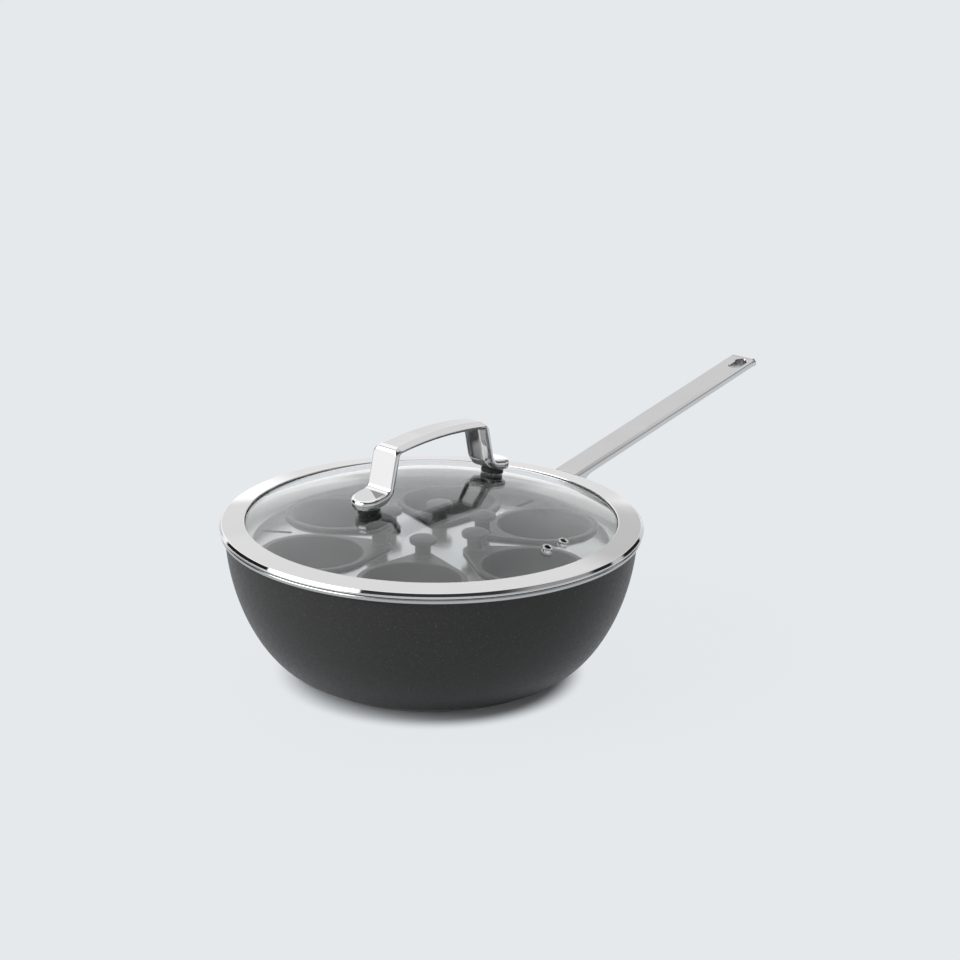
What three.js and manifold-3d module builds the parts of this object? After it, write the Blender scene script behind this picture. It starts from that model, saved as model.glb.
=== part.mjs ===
// Lidded egg-poacher pan: a round non-stick bowl with a long steel handle, a pressed steel tray that
// carries moulded egg cups, and a domed glass lid with a wide steel band and a bridge handle.
// Millimetres, +Z up. The origin is the centre of the underside, and +X runs out along the pan handle.
import * as THREE from 'three';
import { mergeVertices } from 'three/addons/utils/BufferGeometryUtils.js';
import Module from 'manifold-3d';

const wasm = await Module();
wasm.setup();

// Clearances
const GAP = 0.3; // between pieces that rest on each other
const TRAY_CLEARANCE = 1.8; // between the tray's wall and the bowl
const LID_FIT = 1; // between the lid's skirt and the tray's wall
const CUP_HOLE_CLEARANCE = 0.6; // round a cup in its hole
const HANDLE_CLEARANCE = 1.6; // between the pan handle and the lid's edge

// Facets round each kind of piece
const RING_SIDES = 48;
const CUP_SIDES = 18;
const SMALL_SIDES = 12;
const WALL_STEPS = 7;
const DOME_STEPS = 5;
const ARC_STEPS = 4;

// Egg cups
const CUP_COUNT = 6;
const CUP_FIRST_ANGLE = THREE.MathUtils.degToRad(-27.5);
const CUP_OPENING_RADIUS = 30;
const CUP_FLOOR_RADIUS = 12;
const CUP_DEPTH = 25;
const CUP_WALL = 1.5;
const CUP_FLANGE_WIDTH = 4;
const CUP_FLANGE_THICKNESS = 2;
const CUP_FLANGE_ROUND = 0.6;
const CUP_SPACING = 9.6; // between neighbouring flanges
const KNOB_REACH = 43; // from a cup's axis towards the middle of the pan
const KNOB_PAD_RADIUS = 7.5; // tip of the teardrop flange under the knob
const KNOB_HEIGHT = 13;
const KNOB_STEM_RADIUS = 5.1;
const KNOB_CAP_RADIUS = 8.5;
const KNOB_CAP_HEIGHT = 5;
const KNOB_CROWN = 2.2; // height of the cap's rounded top
const KNOB_ROUND = 1.5;

// Egg tray
const TRAY_SHEET = 0.8;
const TRAY_DEPTH = 12.7; // from the top of its flange down to its floor
const TRAY_FLOOR_MARGIN = 0.8; // flat floor left beyond the cups
const TRAY_SLOPE_RUN = 12; // width of the sloping ring round the floor
const TRAY_SLOPE_RISE = 5;
const STEAM_SLOT_COUNT = 3;
const STEAM_SLOT_LENGTH = 20;
const STEAM_SLOT_WIDTH = 4;
const STEAM_SLOT_MARGIN = 3; // from a slot's outer end to the edge of the floor

// Bowl and base
const BASE_DISC_RADIUS = 83;
const BASE_DISC_THICKNESS = 3;
const BASE_DISC_CHAMFER = 0.8;
const BOWL_FOOT_MARGIN = 3; // flat underside left round the base disc
const BOWL_HEIGHT = 92.6;
const BOWL_WALL = 3;
const BOWL_FLOOR = 3.5;
const BOWL_CURVE_UP = 1.8; // powers of the curve that the wall follows
const BOWL_CURVE_OUT = 1.6;
const LIP_HEIGHT = 2.7;
const LIP_OVERHANG = 3;
const LIP_ROUND = 0.6;

// Lid
const LID_OVERHANG = 1; // past the bowl's lip
const LID_EDGE_HEIGHT = 2.4; // rolled outer edge of the band
const BAND_SHEET = 1;
const BAND_RISE = 1.8; // the band climbs this much towards the glass
const BAND_GRIP = 4.4; // overlap of the band on the glass
const GLASS_THICKNESS = 4;
const GLASS_RISE = 25;
const VENT_RADIUS = 100.3; // from the lid's axis to the steam vents
const VENT_SPACING = 15.4;
const VENT_HOLE_RADIUS = 1.9;
const EYELET_WALL = 0.6;
const EYELET_FLANGE_RADIUS = 3.4;
const EYELET_FLANGE_THICKNESS = 0.7;

// Lid handle
const LID_HANDLE_TURN = THREE.MathUtils.degToRad(-3.3); // away from the line of the pan handle
const FOOT_SPREAD = 55; // from the lid's axis to a foot's screw
const FOOT_REACH = 10; // from the screw out to the toe
const FOOT_THICKNESS = 6.8;
const FOOT_BEND = 5.6; // from the corner of foot and leg to where the bend starts
const STRAP_WIDTH = 21.2;
const STRAP_CHAMFER = 1.4;
const LEG_THICKNESS = 4.6;
const LEG_INSET = 9.2; // from the screw in to the leg's outer face
const LEG_LEAN = 6.2; // the legs close in by this much towards the top
const BAR_THICKNESS = 4.8;
const BAR_SHOULDER = 4.6; // width of the sloping shoulder along each side of the bar's top
const BAR_SHOULDER_DROP = 2.2;
const STRAP_SIDE = 0.8; // upright side of the bar and legs, between the upper edge and the belly
const STRAP_BELLY = 5.5; // width of the sloping inner face along each side of the bar and legs
const BAR_HEIGHT = 39.4; // from the glass at a foot up to the corners of the bar
const BAR_ARCH = 2.4;
const BAR_CORNER = 3.4; // from a corner of the bar to where its bend starts
const GASKET_RADIUS = 7.2;
const GASKET_THICKNESS = 3.2;
const WASHER_RADIUS = 7.6;
const WASHER_THICKNESS = 1.5;
const SCREW_RADIUS = 2.4;
const SCREW_GRIP = 3; // length of the screw inside the foot
const SCREW_HEAD_RADIUS = 4.5;
const SCREW_HEAD_HEIGHT = 2.6;

// Pan handle
const HANDLE_LENGTH = 208.4;
const HANDLE_RISE = 38.85;
const HANDLE_ROOT_HEIGHT = 3; // top of the handle over the lip where it passes the lid
const HANDLE_WIDTH = 20.2;
const HANDLE_THICKNESS = 7.3;
const HANDLE_CHAMFER = 1.95;
const HANDLE_CORNER = 4;
const HANDLE_NOSE_LENGTH = 9; // the top rolls down to the end over this length
const HANDLE_NOSE_DROP = 5;
const HANDLE_BELLY_POWER = 0.6; // below 1 gives a fuller belly than a half round
const GUSSET_DEPTH = 19; // extra depth of the handle's root
const GUSSET_RUN = 17;
const SADDLE_THICKNESS = 3.5;
const SADDLE_WIDTH = 42;
const SADDLE_HEIGHT = 32;
const SADDLE_CORNER = 9;
const SADDLE_DROP = 2; // from the underside of the lip to the saddle
const HANG_HOLE_LENGTH = 15;
const HANG_HOLE_WIDTH = 9;
const HANG_HOLE_MARGIN = 9.5; // from the hole to the handle's end
const HANG_HOLE_OFFSET = 4; // the hole lies this much nearer to one side
const RIVET_COUNT = 2;
const RIVET_SPACING = 27;
const RIVET_RADIUS = 2.5;
const RIVET_HEAD_RADIUS = 5;
const RIVET_HEAD_HEIGHT = 1.8;

// Radii that follow from the cups outwards
const flangeRadius = CUP_OPENING_RADIUS + CUP_FLANGE_WIDTH;
const cupPitchRadius = (2 * flangeRadius + CUP_SPACING) / (2 * Math.sin(Math.PI / CUP_COUNT));
const trayFloorRadius = cupPitchRadius + flangeRadius + TRAY_FLOOR_MARGIN;
const trayWallRadius = trayFloorRadius + TRAY_SLOPE_RUN;
const bowlRadius = trayWallRadius + TRAY_SHEET + TRAY_CLEARANCE + BOWL_WALL;
const bowlFootRadius = BASE_DISC_RADIUS + BOWL_FOOT_MARGIN;
const lipRadius = bowlRadius + LIP_OVERHANG;
const lidRadius = lipRadius + LID_OVERHANG;
const skirtRadius = trayWallRadius - LID_FIT;
const glassRadius = skirtRadius - BAND_SHEET - GAP;
const bandInnerRadius = glassRadius - BAND_GRIP;

// Heights that follow from the base upwards
const bowlUnderside = BASE_DISC_THICKNESS + GAP;
const bowlFloorTop = bowlUnderside + BOWL_FLOOR;
const lipUnderside = BOWL_HEIGHT - LIP_HEIGHT;
const trayFlangeTop = BOWL_HEIGHT + GAP + TRAY_SHEET;
const trayFloorTop = trayFlangeTop - TRAY_DEPTH;
const cupRimTop = trayFloorTop + GAP + CUP_FLANGE_THICKNESS;
const lidSeat = trayFlangeTop + GAP;
const bandOuterTop = lidSeat + LID_EDGE_HEIGHT;
const bandInnerTop = bandOuterTop + BAND_RISE;

// The glass is part of a sphere that passes just under the band's inner edge.
const domeRadius = (glassRadius ** 2 + GLASS_RISE ** 2) / (2 * GLASS_RISE);
const glassAtBand = bandInnerTop - BAND_SHEET - GAP;
const domeCentre = glassAtBand - Math.sqrt(domeRadius ** 2 - bandInnerRadius ** 2);
const UP = new THREE.Vector3(0, 0, 1);

function sphereHeight(radius, distance) {
  return domeCentre + Math.sqrt(radius ** 2 - distance ** 2);
}

// Makes a closed geometry into a solid that can be joined and cut.
function solidOf(geometry) {
  geometry.deleteAttribute('normal');
  geometry.deleteAttribute('uv');
  const merged = mergeVertices(geometry);
  const corners = merged.index.array;
  const triangles = [];
  for (let i = 0; i < corners.length; i += 3) {
    const [a, b, c] = corners.subarray(i, i + 3);
    if (a !== b && b !== c && c !== a) {
      triangles.push(a, b, c);
    }
  }
  return new wasm.Manifold(new wasm.Mesh({
    numProp: 3,
    vertProperties: new Float32Array(merged.attributes.position.array),
    triVerts: new Uint32Array(triangles),
  }));
}

// Makes a joined or cut solid back into a geometry.
function geometryOf(solid) {
  const mesh = solid.getMesh();
  const geometry = new THREE.BufferGeometry();
  geometry.setAttribute('position', new THREE.BufferAttribute(mesh.vertProperties, 3));
  geometry.setIndex(new THREE.BufferAttribute(mesh.triVerts, 1));
  geometry.computeVertexNormals();
  return geometry;
}

// Turns a profile of [radius, height] points about Z: along the bottom outwards, up, and back in.
function turned(profile, sides) {
  const points = profile.map(([radius, height]) => new THREE.Vector2(radius, height));
  return new THREE.LatheGeometry(points, sides).rotateX(Math.PI / 2);
}

// Turns a profile that is a closed loop clear of the axis.
function turnedRing(loop, sides) {
  return turned([...loop, loop[0]], sides);
}

// A round bar along Z, to cut holes with.
function roundBar(radius, bottom, top, sides = SMALL_SIDES) {
  return turned([[0, bottom], [radius, bottom], [radius, top], [0, top]], sides);
}

// Extrudes a plan outline upwards, with a small round on both edges that stays inside the outline.
function plate(outline, thickness, round, curveSegments) {
  const geometry = new THREE.ExtrudeGeometry(outline, {
    depth: thickness - 2 * round,
    bevelEnabled: round > 0,
    bevelThickness: round,
    bevelSize: round,
    bevelOffset: -round,
    bevelSegments: 1,
    curveSegments,
  });
  return geometry.translate(0, 0, round);
}

// Joins equal rings of points into one closed skin with a fan over each end.
function lofted(sections) {
  const count = sections[0].length;
  const last = (sections.length - 1) * count;
  const index = [];
  for (let start = 0; start < last; start += count) {
    for (let i = 0; i < count; i += 1) {
      const a = start + i;
      const b = start + ((i + 1) % count);
      index.push(a, b, b + count, a, b + count, a + count);
    }
  }
  for (let i = 1; i + 1 < count; i += 1) {
    index.push(0, i + 1, i, last, last + i, last + i + 1);
  }
  const geometry = new THREE.BufferGeometry();
  geometry.setAttribute('position', new THREE.Float32BufferAttribute(sections.flat(2), 3));
  geometry.setIndex(index);
  return geometry;
}

// Points on an arc of a profile, from one angle to another.
function arc(centreRadius, centreHeight, radius, from, to, steps = ARC_STEPS) {
  return Array.from({ length: steps + 1 }, (unused, i) => {
    const angle = from + ((to - from) * i) / steps;
    return [centreRadius + radius * Math.cos(angle), centreHeight + radius * Math.sin(angle)];
  });
}

// Moves a geometry from the frame of a group into the frame that the group stands in.
function placed(geometry, group) {
  group.updateMatrix();
  return geometry.applyMatrix4(group.matrix);
}

// A group on the lid's glass, with its own Z square to the dome.
function groupOnGlass(x, y) {
  const group = new THREE.Group();
  group.position.set(x, y, sphereHeight(domeRadius, Math.hypot(x, y)));
  const outwards = group.position.clone().sub(new THREE.Vector3(0, 0, domeCentre)).normalize();
  group.quaternion.setFromUnitVectors(UP, outwards);
  return group;
}

// Finishes
const finishes = {
  nonStick: { color: 0x35363a, roughness: 0.55, metalness: 0.3 },
  baseSteel: { color: 0x9a9b9d, roughness: 0.45, metalness: 0.9 },
  brushedSteel: { color: 0xc4c5c7, roughness: 0.3, metalness: 1 },
  polishedSteel: { color: 0xdcdee0, roughness: 0.08, metalness: 1 },
  traySteel: { color: 0xcfd1d3, roughness: 0.2, metalness: 1 },
  glass: { color: 0xe6eef0, roughness: 0.05, metalness: 0, transparent: true, opacity: 0.3 },
  rubber: { color: 0x17181a, roughness: 0.7, metalness: 0 },
  cupMoulding: { color: 0x1e1f22, roughness: 0.5, metalness: 0 },
};

function addPiece(parent, name, geometry, finish) {
  const mesh = new THREE.Mesh(geometry, new THREE.MeshStandardMaterial(finish));
  mesh.name = name;
  parent.add(mesh);
}

function addSolid(parent, name, geometry, finish) {
  addPiece(parent, name, geometryOf(solidOf(geometry)), finish);
}

// Radius of the bowl's curve at a height, from its foot up to the underside of the lip.
function bowlCurve(footRadius, topRadius, footHeight, height) {
  const drop = (lipUnderside - height) / (lipUnderside - footHeight);
  return footRadius + (topRadius - footRadius) * (1 - drop ** BOWL_CURVE_UP) ** (1 / BOWL_CURVE_OUT);
}

// Points up the bowl's curve, closer together where it bends most.
function bowlWall(footRadius, topRadius, footHeight) {
  return Array.from({ length: WALL_STEPS + 1 }, (unused, i) => {
    const turn = (i / WALL_STEPS) * (Math.PI / 2);
    const drop = Math.abs(Math.cos(turn)) ** (2 / BOWL_CURVE_UP);
    const height = lipUnderside - drop * (lipUnderside - footHeight);
    return [bowlCurve(footRadius, topRadius, footHeight, Math.min(height, lipUnderside)), height];
  });
}

const bowlOutside = (height) => bowlCurve(bowlFootRadius, bowlRadius, bowlUnderside, height);
const bowlInside = (height) => (
  bowlCurve(bowlFootRadius - BOWL_WALL / 2, bowlRadius - BOWL_WALL, bowlFloorTop, height)
);

// The bowl's outside grown by a margin, to cut the handle's root with.
function grownBowl(margin) {
  const wall = bowlWall(bowlFootRadius + margin, bowlRadius + margin, bowlUnderside);
  const top = [bowlRadius + margin, BOWL_HEIGHT];
  return solidOf(turned([[0, bowlUnderside], ...wall, top, [0, BOWL_HEIGHT]], RING_SIDES));
}

// Rivets stand square to the bowl's wall at the middle height of the saddle.
const saddleTop = lipUnderside - SADDLE_DROP;
const rivetHeight = saddleTop - SADDLE_HEIGHT / 2;
const wallTilt = Math.atan(bowlOutside(rivetHeight + 1) - bowlOutside(rivetHeight));
const wallThickness = (bowlOutside(rivetHeight) - bowlInside(rivetHeight)) * Math.cos(wallTilt);

function rivetGroup(number) {
  const sideways = (number - (RIVET_COUNT - 1) / 2) * RIVET_SPACING;
  const angle = Math.asin(sideways / bowlOutside(rivetHeight));
  const outwards = new THREE.Vector3(Math.cos(wallTilt), 0, -Math.sin(wallTilt)).applyAxisAngle(UP, angle);
  const group = new THREE.Group();
  group.position.set(bowlOutside(rivetHeight), 0, rivetHeight).applyAxisAngle(UP, angle);
  group.quaternion.setFromUnitVectors(UP, outwards);
  return group;
}

const rivetGroups = Array.from({ length: RIVET_COUNT }, (unused, i) => rivetGroup(i));
const rivetOuterSeat = GAP + SADDLE_THICKNESS + GAP;
const facetSag = bowlRadius * (1 - Math.cos(Math.PI / RING_SIDES)); // flats lie this far inside the round
const rivetInnerSeat = -wallThickness - GAP - 2 * facetSag;

function withRivetHoles(solid) {
  return rivetGroups.reduce((rest, group) => {
    const reach = rivetOuterSeat + BOWL_WALL;
    const hole = placed(roundBar(RIVET_RADIUS + GAP, rivetInnerSeat - BOWL_WALL, reach), group);
    return rest.subtract(solidOf(hole));
  }, solid);
}

// Bowl: flat floor, curved wall and a turned lip that stands proud of the wall.
function makeBowl() {
  const outer = bowlWall(bowlFootRadius, bowlRadius, bowlUnderside);
  const inner = bowlWall(bowlFootRadius - BOWL_WALL / 2, bowlRadius - BOWL_WALL, bowlFloorTop);
  const lip = [
    [lipRadius - LIP_ROUND, lipUnderside],
    [lipRadius, lipUnderside + LIP_ROUND],
    [lipRadius, BOWL_HEIGHT - LIP_ROUND],
    [lipRadius - LIP_ROUND, BOWL_HEIGHT],
    [bowlRadius - BOWL_WALL + LIP_ROUND, BOWL_HEIGHT],
    [bowlRadius - BOWL_WALL, BOWL_HEIGHT - LIP_ROUND],
  ];
  const profile = [[0, bowlUnderside], ...outer, ...lip, ...inner.reverse(), [0, bowlFloorTop]];
  return geometryOf(withRivetHoles(solidOf(turned(profile, RING_SIDES))));
}

function makeBaseDisc() {
  return turned([
    [0, 0],
    [BASE_DISC_RADIUS - BASE_DISC_CHAMFER, 0],
    [BASE_DISC_RADIUS, BASE_DISC_CHAMFER],
    [BASE_DISC_RADIUS, BASE_DISC_THICKNESS],
    [0, BASE_DISC_THICKNESS],
  ], RING_SIDES);
}

// Pan handle: a straight bar with a flat top, broken top edges and a full belly, deeper at its root,
// standing on a saddle that hugs the bowl.
const handleRoot = lidRadius + HANDLE_CLEARANCE;
const handleEnd = handleRoot + HANDLE_LENGTH;
const handleRootTop = BOWL_HEIGHT + HANDLE_ROOT_HEIGHT;

function handleSection(x) {
  const along = (x - handleRoot) / HANDLE_LENGTH;
  const nearRoot = THREE.MathUtils.clamp(1 - (x - handleRoot) / GUSSET_RUN, 0, 1);
  const fromCorner = Math.max(0, x - (handleEnd - HANDLE_CORNER));
  const cornerInset = HANDLE_CORNER - Math.sqrt(HANDLE_CORNER ** 2 - fromCorner ** 2);
  const halfWidth = HANDLE_WIDTH / 2 - cornerInset;
  const intoNose = Math.max(0, 1 - (handleEnd - x) / HANDLE_NOSE_LENGTH);
  const drop = HANDLE_NOSE_DROP * (1 - Math.sqrt(1 - intoNose ** 2));
  const top = handleRootTop + HANDLE_RISE * along - drop;
  const thickness = HANDLE_THICKNESS + GUSSET_DEPTH * nearRoot ** 2 - drop;
  const belly = Array.from({ length: 2 * ARC_STEPS + 1 }, (unused, i) => {
    const turn = (i / (2 * ARC_STEPS)) * Math.PI;
    const across = -Math.sign(Math.cos(turn)) * Math.abs(Math.cos(turn)) ** HANDLE_BELLY_POWER;
    const down = Math.abs(Math.sin(turn)) ** HANDLE_BELLY_POWER;
    return [x, halfWidth * across, top - HANDLE_CHAMFER - (thickness - HANDLE_CHAMFER) * down];
  });
  return [
    ...belly,
    [x, halfWidth - HANDLE_CHAMFER, top],
    [x, HANDLE_CHAMFER - halfWidth, top],
  ];
}

function handleStations() {
  const start = bowlRadius - BOWL_WALL;
  const gusset = Array.from({ length: ARC_STEPS }, (unused, i) => (
    handleRoot + (GUSSET_RUN * i) / ARC_STEPS
  ));
  const nose = Array.from({ length: 2 * ARC_STEPS }, (unused, i) => {
    const turn = (i / (2 * ARC_STEPS)) * (Math.PI / 2);
    return handleEnd - HANDLE_NOSE_LENGTH * (1 - Math.sin(turn));
  });
  return [start, ...gusset, handleRoot + GUSSET_RUN, ...nose];
}

function roundedSlot(length, width) {
  const slot = new THREE.Shape();
  const half = (length - width) / 2;
  slot.absarc(half, 0, width / 2, -Math.PI / 2, Math.PI / 2, false);
  slot.absarc(-half, 0, width / 2, Math.PI / 2, 1.5 * Math.PI, false);
  return slot;
}

function makeSaddle() {
  const inside = bowlWall(bowlFootRadius + GAP, bowlRadius + GAP, bowlUnderside);
  const outside = bowlWall(
    bowlFootRadius + GAP + SADDLE_THICKNESS,
    bowlRadius + GAP + SADDLE_THICKNESS,
    bowlUnderside,
  );
  const ring = solidOf(turnedRing([...outside, ...inside.reverse()], RING_SIDES));
  const outline = new THREE.Shape();
  const [w, h, r] = [SADDLE_WIDTH / 2, SADDLE_HEIGHT / 2, SADDLE_CORNER];
  outline.absarc(w - r, r - h, r, -Math.PI / 2, 0, false);
  outline.absarc(w - r, h - r, r, 0, Math.PI / 2, false);
  outline.absarc(r - w, h - r, r, Math.PI / 2, Math.PI, false);
  outline.absarc(r - w, r - h, r, Math.PI, 1.5 * Math.PI, false);
  const window = plate(outline, lidRadius, 0, ARC_STEPS - 2)
    .rotateX(Math.PI / 2)
    .rotateZ(Math.PI / 2)
    .translate(0, 0, rivetHeight);
  return ring.intersect(solidOf(window));
}

function makePanHandle() {
  const passage = solidOf(roundBar(
    handleRoot,
    saddleTop,
    handleRootTop + HANDLE_THICKNESS,
    RING_SIDES,
  ));
  const arm = solidOf(lofted(handleStations().map(handleSection)))
    .subtract(grownBowl(GAP + SADDLE_THICKNESS / 2))
    .subtract(passage);
  const holeCentre = handleEnd - HANG_HOLE_MARGIN - HANG_HOLE_LENGTH / 2;
  const hole = plate(roundedSlot(HANG_HOLE_LENGTH, HANG_HOLE_WIDTH), 2 * HANDLE_RISE, 0, ARC_STEPS)
    .translate(holeCentre, -HANG_HOLE_OFFSET, handleRootTop);
  return geometryOf(withRivetHoles(arm.add(makeSaddle()).subtract(solidOf(hole))));
}

function makeRivet() {
  const dome = RIVET_HEAD_HEIGHT / 2;
  return turned([
    [0, rivetInnerSeat - RIVET_HEAD_HEIGHT],
    [RIVET_HEAD_RADIUS - dome, rivetInnerSeat - RIVET_HEAD_HEIGHT],
    [RIVET_HEAD_RADIUS, rivetInnerSeat - dome],
    [RIVET_HEAD_RADIUS, rivetInnerSeat],
    [RIVET_RADIUS, rivetInnerSeat],
    [RIVET_RADIUS, rivetOuterSeat],
    [RIVET_HEAD_RADIUS, rivetOuterSeat],
    [RIVET_HEAD_RADIUS, rivetOuterSeat + dome],
    [RIVET_HEAD_RADIUS - dome, rivetOuterSeat + RIVET_HEAD_HEIGHT],
    [0, rivetOuterSeat + RIVET_HEAD_HEIGHT],
  ], SMALL_SIDES);
}

// Egg tray: a shallow pressed dish whose flange lies on the bowl's lip, with a hole for each cup and
// steam slots in every other space between the cups.
function makeTray() {
  const flange = [
    [lipRadius, trayFlangeTop - TRAY_SHEET],
    [lipRadius, trayFlangeTop],
    [trayWallRadius, trayFlangeTop],
  ];
  const slopeTop = trayFloorTop + TRAY_SLOPE_RISE;
  const profile = [
    [0, trayFloorTop - TRAY_SHEET],
    [trayFloorRadius + TRAY_SHEET / 2, trayFloorTop - TRAY_SHEET],
    [trayWallRadius + TRAY_SHEET, slopeTop - TRAY_SHEET / 2],
    [trayWallRadius + TRAY_SHEET, trayFlangeTop - TRAY_SHEET],
    ...flange,
    [trayWallRadius, slopeTop],
    [trayFloorRadius, trayFloorTop],
    [0, trayFloorTop],
  ];
  let tray = solidOf(turned(profile, RING_SIDES));
  const holeRadius = CUP_OPENING_RADIUS + CUP_WALL + CUP_HOLE_CLEARANCE;
  const cutBottom = trayFloorTop - TRAY_DEPTH;
  for (let i = 0; i < CUP_COUNT; i += 1) {
    const hole = roundBar(holeRadius, cutBottom, trayFlangeTop, CUP_SIDES)
      .translate(cupPitchRadius, 0, 0)
      .rotateZ(cupAngle(i));
    tray = tray.subtract(solidOf(hole));
  }
  const slotCentre = trayFloorRadius - STEAM_SLOT_MARGIN - STEAM_SLOT_LENGTH / 2;
  for (let i = 0; i < STEAM_SLOT_COUNT; i += 1) {
    const slot = plate(roundedSlot(STEAM_SLOT_LENGTH, STEAM_SLOT_WIDTH), 2 * TRAY_DEPTH, 0, ARC_STEPS)
      .translate(slotCentre, 0, cutBottom)
      .rotateZ(cupAngle(0.5 + (i * CUP_COUNT) / STEAM_SLOT_COUNT));
    tray = tray.subtract(solidOf(slot));
  }
  return geometryOf(tray);
}

function cupAngle(number) {
  return CUP_FIRST_ANGLE + (number * 2 * Math.PI) / CUP_COUNT;
}

// Egg cup, with its axis on Z, its rim at zero height and its knob towards -X.
function cupBowl(openingRadius, depth, top) {
  const side = Array.from({ length: ARC_STEPS + 1 }, (unused, i) => {
    const turn = (i / ARC_STEPS) * (Math.PI / 2);
    const radius = CUP_FLOOR_RADIUS + (openingRadius - CUP_FLOOR_RADIUS) * Math.sin(turn);
    return [radius, top - (depth + top) * Math.cos(turn)];
  });
  return [[0, -depth], ...side];
}

function teardrop() {
  const outline = new THREE.Shape();
  const lean = Math.acos((flangeRadius - KNOB_PAD_RADIUS) / KNOB_REACH);
  outline.absarc(0, 0, flangeRadius, lean - Math.PI, Math.PI - lean, false);
  outline.absarc(-KNOB_REACH, 0, KNOB_PAD_RADIUS, Math.PI - lean, Math.PI + lean, false);
  return outline;
}

function knobProfile() {
  const capUnderside = KNOB_HEIGHT - KNOB_CAP_HEIGHT;
  const crownBase = KNOB_HEIGHT - KNOB_CROWN;
  const crown = arc(0, 0, 1, 0, Math.PI / 2).map(([across, up]) => [
    KNOB_CAP_RADIUS * across,
    crownBase + KNOB_CROWN * up,
  ]);
  return [
    [0, -CUP_FLANGE_THICKNESS / 2],
    [KNOB_STEM_RADIUS + KNOB_ROUND, -CUP_FLANGE_THICKNESS / 2],
    [KNOB_STEM_RADIUS + KNOB_ROUND / 2, KNOB_ROUND / 2],
    [KNOB_STEM_RADIUS, 2 * KNOB_ROUND],
    [KNOB_STEM_RADIUS, capUnderside - KNOB_ROUND / 2],
    [KNOB_CAP_RADIUS - KNOB_ROUND, capUnderside],
    [KNOB_CAP_RADIUS, capUnderside + KNOB_ROUND],
    ...crown,
  ];
}

function makeCup() {
  const shellTop = -CUP_FLANGE_THICKNESS / 2;
  const shell = [...cupBowl(CUP_OPENING_RADIUS + CUP_WALL, CUP_DEPTH + CUP_WALL, shellTop), [0, shellTop]];
  const hollow = cupBowl(CUP_OPENING_RADIUS, CUP_DEPTH, 0);
  const mouth = [[CUP_OPENING_RADIUS, CUP_FLANGE_THICKNESS], [0, CUP_FLANGE_THICKNESS]];
  const flange = plate(teardrop(), CUP_FLANGE_THICKNESS, CUP_FLANGE_ROUND, ARC_STEPS + 2)
    .translate(0, 0, -CUP_FLANGE_THICKNESS);
  const knob = turned(knobProfile(), SMALL_SIDES).translate(-KNOB_REACH, 0, 0);
  return geometryOf(solidOf(turned(shell, CUP_SIDES))
    .add(solidOf(flange))
    .subtract(solidOf(turned([...hollow, ...mouth], CUP_SIDES)))
    .add(solidOf(knob)));
}

// Lid band: one sheet that lies on the glass, curls at the outer edge and folds round the glass below
// as a skirt that drops inside the tray's wall.
function makeBand() {
  const curl = LID_EDGE_HEIGHT / 2;
  const curlRadius = lidRadius - curl;
  const skinTop = (radius) => THREE.MathUtils.mapLinear(
    radius,
    curlRadius,
    bandInnerRadius,
    bandOuterTop,
    bandInnerTop,
  );
  const skinUnder = (radius) => skinTop(radius) - BAND_SHEET;
  const ledgeTop = sphereHeight(domeRadius - GLASS_THICKNESS, glassRadius) - GAP;
  const ledgeBottom = ledgeTop - BAND_SHEET;
  const channelRadius = glassRadius + GAP;
  return turnedRing([
    [bandInnerRadius, ledgeBottom],
    [skirtRadius, ledgeBottom],
    [skirtRadius, skinUnder(skirtRadius)],
    [curlRadius - curl, skinUnder(curlRadius - curl)],
    ...arc(curlRadius, lidSeat + curl, curl, -Math.PI, Math.PI / 2, ARC_STEPS + 1),
    [bandInnerRadius, bandInnerTop],
    [bandInnerRadius, skinUnder(bandInnerRadius)],
    [channelRadius, skinUnder(channelRadius)],
    [channelRadius, ledgeTop],
    [bandInnerRadius, ledgeTop],
  ], RING_SIDES);
}

const footGroups = [-FOOT_SPREAD, FOOT_SPREAD].map((spread) => (
  groupOnGlass(spread * Math.cos(LID_HANDLE_TURN), spread * Math.sin(LID_HANDLE_TURN))
));
const ventGroups = [-0.5, 0.5].map((side) => {
  const across = side * VENT_SPACING;
  return groupOnGlass(across, -Math.sqrt(VENT_RADIUS ** 2 - across ** 2));
});
const eyeletRadius = VENT_HOLE_RADIUS + EYELET_WALL;

// Glass: an even dome with holes for the handle's screws and the vents.
function makeGlass() {
  const heights = (radius) => Array.from({ length: DOME_STEPS + 1 }, (unused, i) => {
    const distance = (glassRadius * i) / DOME_STEPS;
    return [distance, sphereHeight(radius, distance)];
  });
  const dome = [...heights(domeRadius - GLASS_THICKNESS), ...heights(domeRadius).reverse()];
  const holes = [
    ...footGroups.map((group) => [group, SCREW_RADIUS + 2 * GAP]),
    ...ventGroups.map((group) => [group, eyeletRadius + GAP]),
  ];
  return geometryOf(holes.reduce((glass, [group, radius]) => {
    const bar = placed(roundBar(radius, -2 * GLASS_THICKNESS, GLASS_THICKNESS), group);
    return glass.subtract(solidOf(bar));
  }, solidOf(turned(dome, RING_SIDES))));
}

// Heights over the glass, square to it, of what stands on a handle foot's axis.
const gasketBottom = GAP;
const footBottom = gasketBottom + GASKET_THICKNESS + GAP;
const footTop = footBottom + FOOT_THICKNESS;
const washerTop = -GLASS_THICKNESS - 2 * GAP;
const screwSeat = washerTop - WASHER_THICKNESS - GAP;

function flatRing(outerRadius, innerRadius, bottom, top) {
  return turnedRing([
    [innerRadius, bottom],
    [outerRadius, bottom],
    [outerRadius, top],
    [innerRadius, top],
  ], SMALL_SIDES);
}

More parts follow.
